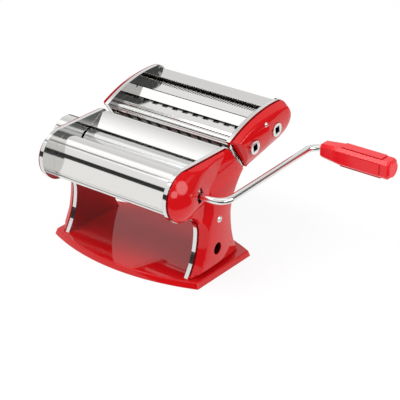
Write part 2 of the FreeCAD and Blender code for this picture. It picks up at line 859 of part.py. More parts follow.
front_edge = front_cover_y - front_cover_radius
keep(
    slab(
        "front_cover",
        -inner_x,
        inner_gap,
        [
            [
                (front_cover_y, axis_z + front_cover_radius, front_cover_radius),
                (front_edge, axis_z),
                (front_edge - front_cover_lean, front_cover_low),
                (front_edge - front_cover_lean + sheet_wall, front_cover_low),
                (front_edge + sheet_wall, axis_z, -(front_cover_radius - sheet_wall)),
                (front_cover_y, axis_z + front_cover_radius - sheet_wall),
            ]
        ],
    )
)
keep(
    slab(
        "rear_cover",
        -inner_x,
        inner_gap,
        [
            [
                (guide_lip_y, guide_lip_z),
                (guide_lip_y + sheet_wall / 2, guide_lip_z - sheet_wall),
                (guide_top_y + sheet_wall / 2, guide_top_z - sheet_wall),
                (rear_wall_y - sheet_wall, guide_top_z - sheet_wall),
                (rear_wall_y - sheet_wall, rear_wall_low),
                (rear_wall_y, rear_wall_low),
                (rear_wall_y, guide_top_z),
                (guide_top_y, guide_top_z),
            ]
        ],
    )
)

# Tie rods between the plates, and the scraper blades that rest on them

keep(
    group(
        "tie_rods",
        [
            rod_along_x("front_tie_rod", -inner_x, inner_gap, front_rod_y, front_rod_z, tie_rod_radius),
            rod_along_x("rear_tie_rod", -inner_x, inner_gap, rear_rod_y, rear_rod_z, tie_rod_radius),
        ],
    )
)


def scraper(name, roller_y, rod_y, rod_z, way):
    """A thin blade from the top of a tie rod up to the underside of a roller."""
    low = rod_z + tie_rod_radius
    reach = roller_radius + slide_gap
    tip_y = roller_y + way * scraper_reach
    tip_z = axis_z - root(reach * reach - scraper_reach * scraper_reach) - scraper_wall
    corners = [
        (rod_y - way * tie_rod_radius / 2, low),
        (rod_y + way * tie_rod_radius, low),
        (rod_y + way * tie_rod_radius, low + scraper_wall),
        (rod_y - way * tie_rod_radius / 2, low + scraper_wall),
        (tip_y, tip_z),
        (tip_y + way * scraper_wall / 2, tip_z - scraper_wall),
    ]
    return slab(name, -roller_half, 2 * roller_half, [corners])


keep(scraper("front_scraper", front_axis_y, front_rod_y, front_rod_z, -1))
keep(scraper("rear_scraper", rear_axis_y, rear_rod_y, rear_rod_z, 1))

# Screws: one through each side cover into its plate, four up through the base into the plates' feet


def crown_height(y, z, face, crown_y, crown_z, long_radius, across_radius, lean):
    """How far out a crowned cover stands at a point."""
    lean_y, lean_z = cosine(lean), sine(lean)
    run, rise = y - crown_y, z - crown_z
    along = run * lean_y + rise * lean_z
    across = rise * lean_y - run * lean_z
    drop = across_radius - root(across_radius * across_radius - across * across)
    ring = long_radius - drop
    return face - long_radius + root(ring * ring - along * along)


def screw_along_x(name, start, seat, y, z, radius, head):
    """A screw that enters along -X: shank from start to its seat, then a domed head."""
    return turned(
        name,
        [
            (start, 0),
            (seat + head_height, 0),
            (seat + head_height, head * head_crown_share),
            (seat + head_height * head_side_share, head),
            (seat, head),
            (seat, radius),
            (start, radius),
        ],
        y,
        z,
    )


side_seat = crown_height(
    side_screw_y,
    side_screw_z,
    leg_face,
    leg_crown_y,
    leg_crown_z,
    leg_long_radius,
    leg_across_radius,
    90 - leg_lean,
)
keep(
    both_sides(
        "side_screws",
        lambda name: screw_along_x(
            name,
            inner_x,
            side_seat,
            side_screw_y,
            side_screw_z,
            side_screw_radius,
            side_screw_head,
        ),
    )
)


def base_screw(name, x, y):
    """A short screw from inside the tray up into the foot of a plate."""
    shank = doc.addObject("Part::Cylinder", f"{name}_shank")
    head = doc.addObject("Part::Cylinder", f"{name}_head")
    for bar, radius, low, height in (
        (shank, base_screw_radius, base_height - base_wall, base_wall + rim_wall),
        (head, base_screw_head, base_height - base_wall - head_height, head_height),
    ):
        bar.setExpression("Radius", radius.text)
        bar.setExpression("Height", height.text)
        bar.setExpression("Placement.Base.x", sized(x).text)
        bar.setExpression("Placement.Base.y", sized(y).text)
        bar.setExpression("Placement.Base.z", low.text)
    screw = doc.addObject("Part::MultiFuse", name)
    screw.Shapes = [shank, head]
    return screw


foot_x = inner_x + rim_depth / 2
keep(
    group(
        "base_screws",
        [
            base_screw(f"base_screw_{hand}_{end}", way * foot_x, foot * base_screw_share)
            for hand, way in X_WAYS.items()
            for end, foot in (("front", foot_front_y), ("rear", foot_rear_y))
        ],
    )
)

# Bushes of the front roller: flanged sleeves pressed into the plates

keep(
    both_sides(
        "plate_bushes",
        lambda name: turned(
            name,
            [
                (inner_x - roller_end_gap / 2, journal_radius + running_fit),
                (plate_face + gear_stand_off / 2, journal_radius + running_fit),
                (plate_face + gear_stand_off / 2, bush_hole + bush_flange),
                (plate_face, bush_hole + bush_flange),
                (plate_face, bush_hole),
                (inner_x - roller_end_gap / 2, bush_hole),
            ],
            front_axis_y,
            axis_z,
        ),
    )
)

# Front roller: solid, with a journal at each end, and a drilled and slotted end for the crank

socket_end = gear_end + socket_length


def front_roller(name):
    bore = rod_radius + running_fit
    body = turned(
        name,
        [
            (-(plate_face + gear_stand_off), 0),
            (socket_end - socket_depth, 0),
            (socket_end - socket_depth, bore),
            (socket_end, bore),
            (socket_end, journal_radius),
            (roller_half, journal_radius),
            (roller_half, roller_radius),
            (-roller_half, roller_radius),
            (-roller_half, journal_radius),
            (-(plate_face + gear_stand_off), journal_radius),
        ],
        front_axis_y,
        axis_z,
        crank_rise,
    )
    slot = new_sketch(body, "XY_Plane")
    half_slot = drive_pin_radius + slide_gap
    draw_loop(
        slot,
        [
            (gear_end + free_gap, -half_slot),
            (socket_end + free_gap, -half_slot),
            (socket_end + free_gap, half_slot),
            (gear_end + free_gap, half_slot),
        ],
    )
    pocket_both_ways(body, slot)
    return body


keep(front_roller("front_roller"))


# Gears


def gear(name, y, z, x, width, teeth, pitch_radius, tip, foot, bore, phase):
    """A spur gear on an axis along X. phase is the direction of a tooth, from +Y towards +Z."""
    slope = math.radians(pressure_angle.value)
    base_circle = pitch_radius.value * math.cos(slope)
    tip_circle = pitch_radius.value + tip.value
    foot_circle = pitch_radius.value - foot.value
    half_tooth = math.pi / (2 * teeth) - gear_backlash.value / (2 * pitch_radius.value)
    flank_points = 4
    flank = [(foot_circle, half_tooth + math.tan(slope) - slope)]
    for i in range(flank_points):
        radius = base_circle + (tip_circle - base_circle) * i / (flank_points - 1)
        swing = math.acos(base_circle / radius)
        flank.append((radius, half_tooth + math.tan(slope) - slope - math.tan(swing) + swing))
    points = []
    for tooth in range(teeth):
        middle = math.radians(phase) + 2 * math.pi * tooth / teeth
        rising = [(radius, middle - angle) for radius, angle in flank]
        falling = [(radius, middle + angle) for radius, angle in reversed(flank)]
        points += [
            Vector(0, radius * math.cos(angle), radius * math.sin(angle))
            for radius, angle in rising + falling
        ]
    face = Part.Face(Part.makePolygon(points + points[:1]))
    blank = face.extrude(Vector(width.value, 0, 0))
    hole = Part.makeCylinder(bore.value, width.value, Vector(0, 0, 0), Vector(1, 0, 0))
    wheel = doc.addObject("Part::Feature", name)
    wheel.Label = name
    wheel.Shape = blank.cut(hole)
    wheel.Placement = Placement(Vector(x.value, sized(y).value, sized(z).value), Rotation())
    return wheel


roller_pitch_radius = roller_radius + finest_gap / 2
roller_module = 2 * roller_pitch_radius / gear_teeth
keep(
    gear(
        "front_roller_gear",
        front_axis_y,
        axis_z,
        gear_x,
        gear_width,
        gear_teeth,
        roller_pitch_radius,
        roller_module,
        gear_foot_share * roller_module,
        journal_radius + running_fit / 2,
        0,
    )
)
keep(
    gear(
        "rear_roller_gear",
        rear_axis_y,
        axis_z,
        gear_x,
        gear_width,
        gear_teeth,
        roller_pitch_radius,
        roller_module,
        gear_foot_share * roller_module,
        neck_radius + running_fit / 2,
        180 + 180 / gear_teeth,
    )
)

# Rear roller: a tube that turns on two bushes, with a neck on the right for its gear

keep(
    turned(
        "rear_roller",
        [
            (-roller_half, roller_bore),
            (roller_half - roller_end_gap * 2, roller_bore),
            (roller_half - roller_end_gap * 2, neck_bore),
            (gear_end, neck_bore),
            (gear_end, neck_radius),
            (roller_half, neck_radius),
            (roller_half, roller_radius),
            (-roller_half, roller_radius),
        ],
        rear_axis_y,
        axis_z,
    )
)


def roller_bush(name, x):
    """A bush in the rear roller's bore. Its upright hole lets the eccentric barrel pass its arc."""
    hole = barrel_radius + barrel_play
    rise = eccentricity * (1 - sine(barrel_angle)) / 2
    body = slab(
        name,
        x,
        roller_bush_length,
        [
            [
                (hole, -rise),
                (hole, rise, hole),
                (0, rise + hole, hole),
                (-hole, rise),
                (-hole, -rise, hole),
                (0, -(rise + hole), hole),
            ]
        ],
        [(sized(0), sized(0), roller_bore - running_fit)],
    )
    set_on_axis(body, rear_axis_y, axis_z)
    return body


right_bush_x = roller_half - roller_end_gap * 2 - slide_gap - roller_bush_length
keep(
    group(
        "rear_roller_bushes",
        [
            roller_bush("left_roller_bush", -roller_half),
            roller_bush("right_roller_bush", right_bush_x),
        ],
    )
)

# Thickness shaft: journals on the knob's axis, and an eccentric barrel inside the rear roller

shaft_right = gear_end + gear_stand_off + plate_wall
nut_face = dial_face + slide_gap + knob_hub + spring_length
shaft_left = nut_face + nut_height
shaft = doc.addObject("Part::MultiFuse", "thickness_shaft")
shaft.Label = "thickness_shaft"
shaft.Shapes = [
    rod_along_x(
        "shaft_journal",
        -shaft_left,
        shaft_left + shaft_right,
        knob_axis_y,
        knob_axis_z,
        shaft_radius,
    ),
    rod_along_x(
        "shaft_barrel",
        -roller_half,
        2 * roller_half - 2 * roller_end_gap - slide_gap,
        knob_axis_y + eccentricity * cosine(barrel_angle),
        knob_axis_z + eccentricity * sine(barrel_angle),
        barrel_radius,
    ),
]
keep(shaft)


def gear_bracket(name):
    """A bridge over the gears: a strip with the shaft's right bearing, on two feet on the plate."""
    tip_circle = roller_pitch_radius + roller_module
    half_width = shaft_radius * 2
    foot_low = tip_circle + gap_travel
    foot_high = foot_low + plate_wall * 2
    body = slab(
        name,
        gear_end + gear_stand_off,
        plate_wall,
        [
            [
                (half_width, -foot_high),
                (half_width, foot_high),
                (-half_width, foot_high),
                (-half_width, -foot_high),
            ]
        ],
        [(sized(0), sized(0), shaft_radius + running_fit)],
    )
    for low, high in ((foot_low, foot_high), (-foot_high, -foot_low)):
        add_slab(
            body,
            plate_face,
            gear_end + gear_stand_off + plate_wall - plate_face,
            [[(half_width, low), (half_width, high), (-half_width, high), (-half_width, low)]],
        )
    set_on_axis(body, knob_axis_y, knob_axis_z)
    return body


keep(gear_bracket("gear_bracket"))

# Dial: the shaft's left bearing, with the track that stops the knob's pin and a ring of click holes


def dial(name):
    stem = turned(
        f"{name}_stem",
        [
            (-plate_face, shaft_radius + running_fit),
            (-plate_face, stem_radius),
            (-(dial_face - dial_wall), stem_radius),
            (-(dial_face - dial_wall), dial_radius),
            (-dial_face, dial_radius),
            (-dial_face, shaft_radius + running_fit),
        ],
        knob_axis_y,
        knob_axis_z,
    )
    half_track = knob_pin_radius + slide_gap
    inner, outer = track_radius - half_track, track_radius + half_track
    turn_in = barrel_angle - track_end
    turn_out = barrel_angle + knob_turn + track_end
    middle = barrel_angle + knob_turn / 2
    track = slab(
        f"{name}_track",
        -dial_face,
        track_depth,
        [
            [
                (outer * cosine(turn_in), outer * sine(turn_in), outer),
                (outer * cosine(middle), outer * sine(middle), outer),
                (outer * cosine(turn_out), outer * sine(turn_out)),
                (inner * cosine(turn_out), inner * sine(turn_out), -inner),
                (inner * cosine(middle), inner * sine(middle), -inner),
                (inner * cosine(turn_in), inner * sine(turn_in)),
            ]
        ],
    )
    set_on_axis(track, knob_axis_y, knob_axis_z)
    clicks = []
    for i in range(click_count):
        angle = barrel_angle + knob_turn * i / (click_count - 1)
        clicks.append(
            rod_along_x(
                f"{name}_click_{i}",
                -dial_face,
                dial_wall,
                knob_axis_y + track_radius * cosine(angle),
                knob_axis_z + track_radius * sine(angle),
                click_hole_radius,
            )
        )
    return cut(name, stem, [track] + clicks)


keep(dial("index_plate"))

# Knob: a hollow chrome cup that slides on the shaft against a spring, its pin in the dial's track

knob_x = dial_face + slide_gap
knob_end = knob_x + knob_length
knob_skin = turned(
    "knob_skin",
    [
        (-knob_x, shaft_radius + running_fit),
        (-knob_x, knob_radius),
        (-(knob_end - knob_round), knob_radius, -knob_round),
        (-knob_end, knob_radius - knob_round),
        (-knob_end, knob_well),
        (-(knob_x + knob_hub), knob_well),
        (-(knob_x + knob_hub), shaft_radius + running_fit),
    ],
    knob_axis_y,
    knob_axis_z,
)
pin_y = knob_axis_y + track_radius * cosine(barrel_angle)
pin_z = knob_axis_z + track_radius * sine(barrel_angle)
pin_root = knob_x + knob_pin_seat
pin_tip = dial_face - track_depth + slide_gap
pin_seat = rod_along_x("pin_seat", -pin_root, knob_pin_seat, pin_y, pin_z, knob_pin_radius)
keep(cut("thickness_knob", knob_skin, [pin_seat]))
keep(rod_along_x("knob_pin", -pin_root, pin_root - pin_tip, pin_y, pin_z, knob_pin_radius))
keep(
    turned(
        "knob_cap",
        [
            (-(knob_end - knob_cap_wall), 0),
            (-(knob_end - knob_cap_wall), knob_well - running_fit / 2),
            (-knob_end, knob_well - running_fit / 2),
            (-knob_end, 0),
        ],
        knob_axis_y,
        knob_axis_z,
    )
)
keep(
    turned(
        "knob_nut",
        [
            (-nut_face, shaft_radius + running_fit / 2),
            (-nut_face, nut_radius),
            (-shaft_left, nut_radius),
            (-shaft_left, shaft_radius + running_fit / 2),
        ],
        knob_axis_y,
        knob_axis_z,
    )
)


def arc_from(start, heading, end):
    """The arc that leaves start along heading and reaches end."""
    chord = end - start
    ahead = Vector(chord).normalize()
    aside = heading - ahead * heading.dot(ahead)
    bend = heading.getAngle(chord)
    middle = start + chord * 0.5 + aside.normalize() * (chord.Length / 2 * math.tan(bend / 2))
    return Part.Arc(start, middle, end).toShape()


def coil_spring(name):
    """A helical spring along X between the knob's hub and the nut, on two arcs each quarter turn."""
    rise = spring_length.value - 2 * spring_wire.value - 2 * running_fit.value
    radius = spring_radius.value
    quarters = round(4 * spring_turns.value)
    places, headings = [], []
    for i in range(quarters + 1):
        angle = math.pi / 2 * i
        places.append(Vector(rise * i / quarters, radius * math.cos(angle), radius * math.sin(angle)))
        lead = rise / quarters / (math.pi / 2)
        headings.append(
            Vector(lead, -radius * math.sin(angle), radius * math.cos(angle)).normalize()
        )
    arcs = []
    for i in range(quarters):
        span, both = places[i + 1] - places[i], headings[i] + headings[i + 1]
        turn = 2 * (1 - headings[i].dot(headings[i + 1]))
        reach = (math.sqrt(span.dot(both) ** 2 + turn * span.dot(span)) - span.dot(both)) / turn
        meet = (places[i] + headings[i] * reach + places[i + 1] - headings[i + 1] * reach) * 0.5
        arcs.append(arc_from(places[i], headings[i], meet))
        onward = places[i + 1] - headings[i + 1] * reach - meet
        arcs.append(arc_from(meet, onward.normalize(), places[i + 1]))
    section = Part.Wire(Part.Circle(places[0], headings[0], spring_wire.value).toShape())
    wire = doc.addObject("Part::Feature", name)
    wire.Label = name
    wire.Shape = Part.Wire(arcs).makePipeShell([section], True, False)
    start = Vector(-nut_face.value + spring_wire.value + running_fit.value, 0, 0)
    wire.Placement = Placement(start + Vector(0, knob_axis_y.value, knob_axis_z.value), Rotation())
    return wire


keep(coil_spring("knob_spring"))

# Crank: a round rod bent twice in one plane, with a cross pin that drives the front roller


def crank_rod(name):
    start = socket_end - socket_depth + slide_gap
    grip_end = crank_plane + crank_bend + grip_length - grip_cap - slide_gap
    body = new_body(name)
    path = new_sketch(body, "XY_Plane")
    draw_loop(
        path,
        [
            (start, sized(0)),
            (crank_plane - crank_bend, sized(0), crank_bend),
            (crank_plane, crank_bend),
            (crank_plane, crank_throw - crank_bend, -crank_bend),
            (crank_plane + crank_bend, crank_throw),
            (grip_end, crank_throw),
        ],
        closed=False,
    )
    section = new_sketch(body, "YZ_Plane", start)
    draw_circle(section, 0, 0, rod_radius)
    rod = body.newObject("PartDesign::AdditivePipe", f"{name}_rod")
    rod.Profile = section
    rod.Spine = path
    cross = new_sketch(body, "XY_Plane", -drive_pin_length / 2)
    draw_circle(cross, gear_end + socket_length / 2, 0, drive_pin_radius)
    pad(body, cross, drive_pin_length)
    set_on_axis(body, front_axis_y, axis_z, crank_rise)
    return body


keep(crank_rod("crank_rod"))

# Grip: an eight-sided plastic sleeve with four raised pads, that turns on the rod's end

grip_y = front_axis_y + crank_throw * cosine(crank_rise)
grip_z = axis_z + crank_throw * sine(crank_rise)
grip_x = crank_plane + crank_bend
grip_far = grip_x + grip_length
grip_body_end = grip_far - grip_cap


def eight_sides(flat):
    """A square with its corners cut off, its sides at flat from the middle."""
    half = flat * (grip_corner_share * root(sized(2)) - 1)
    return [
        (flat, -half),
        (flat, half),
        (half, flat),
        (-half, flat),
        (-flat, half),
        (-flat, -half),
        (-half, -flat),
        (half, -flat),
    ]


def crank_grip(name):
    body = new_body(name)
    shoulder = grip_x + grip_chamfer + grip_taper
    for start, end, first, last in (
        (grip_x, grip_x + grip_chamfer, grip_tip_flat, grip_nose_flat),
        (grip_x + grip_chamfer, shoulder, grip_nose_flat, grip_flat),
    ):
        near = new_sketch(body, "YZ_Plane", start)
        draw_loop(near, eight_sides(first))
        far = new_sketch(body, "YZ_Plane", end)
        draw_loop(far, eight_sides(last))
        loft = body.newObject("PartDesign::AdditiveLoft", f"{name}_loft")
        loft.Profile = near
        loft.Sections = [far]
        loft.Ruled = True
    add_slab(body, shoulder, grip_body_end - shoulder, [eight_sides(grip_flat)])
    for across, up in ((grip_pad_face, grip_pad_half), (grip_pad_half, grip_pad_face)):
        add_slab(
            body,
            shoulder,
            grip_far - grip_collar - shoulder,
            [[(across, -up), (across, up), (-across, up), (-across, -up)]],
        )
    doc.recompute()
    bore = new_sketch(body, "YZ_Plane")
    draw_circle(bore, 0, 0, rod_radius + running_fit)
    pocket_both_ways(body, bore)
    set_on_axis(body, grip_y, grip_z)
    return body


keep(crank_grip("crank_grip"))
keep(
    turned(
        "grip_end_cap",
        [
            (grip_body_end, 0),
            (grip_far, 0),
            (grip_far, grip_cap_radius - grip_cap / 2),
            (grip_body_end, grip_cap_radius),
        ],
        grip_y,
        grip_z,
    )
)

# Cutter head: places of the four roller axes along one slanted line

line_y = cosine(cutter_line_slope)
line_z = sine(cutter_line_slope)


def on_cutter_line(distance):
    return cutter_axis_y + distance * line_y, cutter_axis_z + distance * line_z


cutter_axes = {
    "wide_drive": on_cutter_line(sized(0)),
    "wide_mate": on_cutter_line(cutter_pair_gap),
    "fine_drive": on_cutter_line(cutter_pair_pitch),
    "fine_mate": on_cutter_line(cutter_pair_pitch + cutter_pair_gap),
}
cutter_bush_hole = cutter_journal + running_fit + cutter_bush_wall

# Cutter plates and covers, pressed like those of the frame


def cutter_plate(name, side):
    body = new_body(name)
    holes = [(y, z, cutter_bush_hole) for y, z in cutter_axes.values()]
    web_x = cutter_inner_x if side == "right" else -cutter_plate_face
    rim_x = cutter_inner_x if side == "right" else -(cutter_inner_x + rim_depth)
    add_slab(body, web_x, plate_wall, [cutter_outline(sized(0))], holes)
    add_slab(body, rim_x, rim_depth, [cutter_outline(sized(0)), cutter_outline(rim_wall)])
    return body


for hand in X_WAYS:
    keep(cutter_plate(f"cutter_{hand}_plate", hand))


def cutter_crowns(name, sink):
    crest = crown(
        name,
        cutter_face,
        cutter_crown_y,
        cutter_crown_z,
        cutter_long_radius,
        cutter_across_radius,
        cutter_lean,
        sink,
    )
    return [crest]


cutter_shell = pressed_shell("cutter_pressing", cutter_inner_x + rim_depth, cutter_outline, cutter_crowns)
socket_holes = [
    rod_along_x(
        f"{pair}_socket_hole",
        inner_x,
        inner_gap,
        cutter_axes[pair][0],
        cutter_axes[pair][1],
        socket_radius + slide_gap,
    )
    for pair in ("wide_drive", "fine_drive")
]
keep(cut("cutter_right_cover", cutter_shell, socket_holes))
keep(mirrored("cutter_left_cover", cutter_shell))

# Cutter rollers: grooved so that the discs of one run in the grooves of its mate


def disc_profile(ribbon, discs, shift):
    """Square discs one ribbon wide, a ribbon apart, along the roller from left to right."""
    points = []
    start = -(ribbon * discs) + ribbon * shift
    for i in range(discs):
        low = start + 2 * i * ribbon + disc_play / 2
        high = low + ribbon - disc_play
        points += [
            (low, cutter_core_radius),
            (low, cutter_roller_radius),
            (high, cutter_roller_radius),
            (high, cutter_core_radius),
        ]
    return points


def ridge_profile(ribbon, discs, shift):
    """Sharp ridges two ribbons apart, along the roller from left to right."""
    points = []
    start = -(ribbon * discs) + ribbon * shift
    for i in range(discs):
        low = start + 2 * i * ribbon
        points += [(low, cutter_core_radius), (low + ribbon, cutter_roller_radius)]
    return points + [(start + 2 * discs * ribbon, cutter_core_radius)]


def cutter_roller(name, axis, teeth):
    left = -(cutter_gear_x + cutter_gear_width)
    right = cutter_gear_x
    profile = [
        (right, 0),
        (left, 0),
        (left, cutter_journal),
        (-cutter_roller_half, cutter_journal),
        (-cutter_roller_half, cutter_core_radius),
        *teeth,
        (cutter_roller_half, cutter_core_radius),
        (cutter_roller_half, cutter_journal),
        (right, cutter_journal),
    ]
    return turned(name, profile, axis[0], axis[1])


cutter_pitch_radius = cutter_pair_gap / 2
cutter_module = cutter_pair_gap / cutter_gear_teeth
for pair, shape, ribbon, discs in (
    ("wide", disc_profile, wide_ribbon, wide_discs),
    ("fine", ridge_profile, fine_ribbon, fine_discs),
):
    for shift, role in enumerate(("drive", "mate")):
        axis = cutter_axes[f"{pair}_{role}"]
        roller_shift = shift if shape is disc_profile else shift - 0.5
        keep(cutter_roller(f"{pair}_{role}_roller", axis, shape(ribbon, discs, roller_shift)))
        keep(
            gear(
                f"{pair}_{role}_gear",
                axis[0],
                axis[1],
                -(cutter_gear_x + cutter_gear_width),
                cutter_gear_width,
                cutter_gear_teeth,
                cutter_pitch_radius,
                cutter_gear_tip_share * cutter_module,
                cutter_gear_foot_share * cutter_module,
                cutter_journal + running_fit / 2,
                cutter_line_slope.value + shift * (180 + 180 / cutter_gear_teeth),
            )
        )

# Crank sockets of the cutter rollers: sleeves with a square hole, flush with the right cover


def crank_socket(name, axis):
    x = cutter_gear_x + running_fit
    half = socket_square / 2
    body = slab(
        name,
        x,
        cutter_face + socket_proud - x,
        [[(half, -half), (half, half), (-half, half), (-half, -half)]],
        [(sized(0), sized(0), socket_radius)],
    )
    set_on_axis(body, axis[0], axis[1], cutter_line_slope)
    return body


for pair in ("wide", "fine"):
    keep(crank_socket(f"{pair}_crank_socket", cutter_axes[f"{pair}_drive"]))


# Bushes of the cutter rollers, in one node


def cutter_bush(name, axis):
    inner = cutter_inner_x - cutter_roller_end_gap / 2
    return turned(
        name,
        [
            (inner, cutter_journal + running_fit),
            (cutter_plate_face + cutter_bush_wall / 2, cutter_journal + running_fit),
            (cutter_plate_face + cutter_bush_wall / 2, cutter_bush_hole),
            (inner, cutter_bush_hole),
        ],
        axis[0],
        axis[1],
    )


keep(
    group(
        "cutter_bushes",
        [
            both_sides(f"{pair}_bush", lambda name, axis=axis: cutter_bush(name, axis))
            for pair, axis in cutter_axes.items()
        ],
    )
)

# Cutter sheets: notched front tray, humped middle cover with a fine comb, curved rear cover


def front_tray(name):
    body = slab(
        name,
        -cutter_inner_x,
        cutter_gap,
        [
            [
                (tray_front_y, tray_front_z),
                (tray_front_y, apron_low),
                (tray_front_y + sheet_wall, apron_low),
                (tray_front_y + sheet_wall, tray_front_z - sheet_wall / 2),
                (tray_step_y, tray_z - sheet_wall),
                (wide_slot_front, tray_z - sheet_wall),
                (wide_slot_front, tray_z),
                (tray_step_y - sheet_wall / 2, tray_z),
            ]
        ],
    )
    row = wide_ribbon * 2 * (wide_discs - 1)
    notch = new_sketch(body, "XY_Plane")
    left = -row / 2 - notch_width / 2
    draw_loop(
        notch,
        [
            (left, wide_slot_front - notch_depth),
            (left + notch_width, wide_slot_front - notch_depth),
            (left + notch_width, wide_slot_front + sheet_wall),
            (left, wide_slot_front + sheet_wall),
        ],
    )
    doc.recompute()
    repeat_along_x(body, pocket_both_ways(body, notch), notch, row, wide_discs)
    return body


def mid_cover(name):
    foot_y = wide_slot_front + wide_slot
    body = slab(
        name,
        -cutter_inner_x,
        cutter_gap,
        [
            [
                (foot_y, tray_z),
                (foot_y + sheet_wall, tray_z - sheet_wall / 2),
                (ridge_y, ridge_z - sheet_wall),
                (fine_lip_y, fine_lip_z - sheet_wall),
                (fine_lip_y, fine_lip_z),
                (ridge_y - sheet_wall / 2, ridge_z),
            ]
        ],
    )
    pitch = 2 * cutter_roller_half / comb_teeth
    gap = new_sketch(body, "XY_Plane")
    left = -cutter_roller_half + pitch / 4
    draw_loop(
        gap,
        [
            (left, fine_lip_y - comb_depth),
            (left + pitch / 2, fine_lip_y - comb_depth),
            (left + pitch / 2, fine_lip_y + sheet_wall),
            (left, fine_lip_y + sheet_wall),
        ],
    )
    doc.recompute()
    repeat_along_x(body, pocket_both_ways(body, gap), gap, pitch * (comb_teeth - 1), comb_teeth)
    return body


def rear_sheet(name):
    lip_y = fine_lip_y + fine_slot
    return slab(
        name,
        -cutter_inner_x,
        cutter_gap,
        [
            [
                (lip_y, rear_lip_z),
                (lip_y, rear_lip_z - rear_lip_drop),
                (lip_y + sheet_wall, rear_lip_z - rear_lip_drop),
                (lip_y + sheet_wall, rear_lip_z - sheet_wall / 2),
                (rear_crest_y, rear_crest_z - sheet_wall, -(rear_crest_radius - sheet_wall)),
                (rear_back_y - sheet_wall, rear_back_z, -(rear_back_radius - sheet_wall)),
                (rear_hem_y - sheet_wall, rear_hem_z),
                (rear_hem_y, rear_hem_z, rear_back_radius),
                (rear_back_y, rear_back_z, rear_crest_radius),
                (rear_crest_y, rear_crest_z),
            ]
        ],
    )


keep(front_tray("cutter_front_tray"))
keep(mid_cover("cutter_mid_cover"))
keep(rear_sheet("cutter_rear_cover"))

# Rolled rod along the tray's front edge, tie rods and screws of the cutter head

keep(
    rod_along_x(
        "cutter_front_rail",
        -cutter_inner_x,
        cutter_gap,
        cutter_rail_y,
        cutter_rail_z,
        cutter_rail_radius,
    )
)
keep(
    group(
        "cutter_tie_rods",
        [
            rod_along_x(f"cutter_rod_{place}", -cutter_inner_x, cutter_gap, y, z, tie_rod_radius)
            for place, y, z in (
                ("low", cutter_rod_low_y, cutter_rod_low_z),
                ("rear", cutter_rod_rear_y, cutter_rod_rear_z),
            )
        ],
    )
)
cutter_screw_seat = crown_height(
    cutter_screw_y,
    cutter_screw_z,
    cutter_face,
    cutter_crown_y,
    cutter_crown_z,
    cutter_long_radius,
    cutter_across_radius,
    cutter_lean,
)
keep(
    both_sides(
        "cutter_screws",
        lambda name: screw_along_x(
            name,
            cutter_inner_x,
            cutter_screw_seat,
            cutter_screw_y,
            cutter_screw_z,
            side_screw_radius,
            cutter_screw_head,
        ),
    )
)


# Combs that strip the cut dough from the grooves


def comb(name, axis, ribbon, discs, shift, finger, reach):
    """An upright sheet under a roller, with one finger in each of its grooves."""
    top = axis[1] - cutter_roller_radius - slide_gap
    body = new_body(name)
    bar = new_sketch(body, "XZ_Plane", -(axis[0] + comb_wall / 2))
    draw_loop(
        bar,
        [
            (-cutter_inner_x, top - comb_bar),
            (cutter_inner_x, top - comb_bar),
            (cutter_inner_x, top),
            (-cutter_inner_x, top),
        ],
    )
    pad(body, bar, comb_wall)
    first = ribbon * shift - ribbon * (discs - 1) + ribbon / 2
    finger_sketch = new_sketch(body, "XZ_Plane", -(axis[0] + comb_wall / 2))
    draw_loop(
        finger_sketch,
        [
            (first - finger / 2, top - sheet_wall),
            (first + finger / 2, top - sheet_wall),
            (first + finger / 2, top + reach),
            (first - finger / 2, top + reach),
        ],
    )
    tooth = pad(body, finger_sketch, comb_wall)
    doc.recompute()
    repeat_along_x(body, tooth, finger_sketch, 2 * ribbon * (discs - 2), discs - 1)
    return body


wide_reach = cutter_roller_radius - cutter_core_radius
keep(
    group(
        "wide_combs",
        [
            comb(
                f"wide_comb_{role}",
                cutter_axes[f"wide_{role}"],
                wide_ribbon,
                wide_discs,
                shift,
                comb_finger,
                wide_reach,
            )
            for shift, role in enumerate(("drive", "mate"))
        ],
    )
)
keep(
    group(
        "fine_combs",
        [
            comb(
                f"fine_comb_{role}",
                cutter_axes[f"fine_{role}"],
                fine_ribbon,
                fine_discs,
                shift,
                fine_finger,
                wide_reach / 2,
            )
            for shift, role in enumerate(("drive", "mate"))
        ],
    )
)

# Hooks of the cutter head, open below, and the pins on the frame that they drop over

hook_pins = ((upper_pin_y, upper_pin_z), (lower_pin_y, lower_pin_z))
keep(
    group(
        "cutter_pins",
        [
            both_sides(
                f"cutter_pin_{i}",
                lambda name, y=y, z=z: rod_along_x(
                    name,
                    inner_x - hook_wall - free_gap,
                    hook_wall + free_gap,
                    y,
                    z,
                    hook_pin_radius,
                ),
            )
            for i, (y, z) in enumerate(hook_pins)
        ],
    )
)


def hook(name):
    body = slab(
        name,
        cutter_inner_x - hook_wall,
        hook_wall,
        [
            [
                (upper_pin_y - hook_side, upper_pin_z + hook_end),
                (upper_pin_y - hook_side, upper_pin_z - hook_end),
                (lower_pin_y - hook_side, lower_pin_z - hook_end),
                (lower_pin_y + hook_side, lower_pin_z - hook_end),
                (cutter_front_low_y, cutter_front_low_z + hook_end),
                (cutter_front_low_y, cutter_front_low_z + 2 * hook_end),
                (upper_pin_y + hook_root, upper_pin_z + hook_end),
            ]
        ],
    )
    half = hook_pin_radius + hook_pin_play
    tools = []
    for i, (y, z) in enumerate(hook_pins):
        tools.append(
            slab(
                f"{name}_slot_{i}",
                cutter_inner_x - hook_wall - free_gap,
                hook_wall + 2 * free_gap,
                [
                    [
                        (y - half, z - hook_mouth),
                        (y + half, z - hook_mouth),
                        (y + half, z, half),
                        (y, z + half, half),
                        (y - half, z),
                    ]
                ],
            )
        )
    return cut(f"{name}_arm", body, tools)


keep(both_sides("cutter_hooks", hook))

doc.recompute()

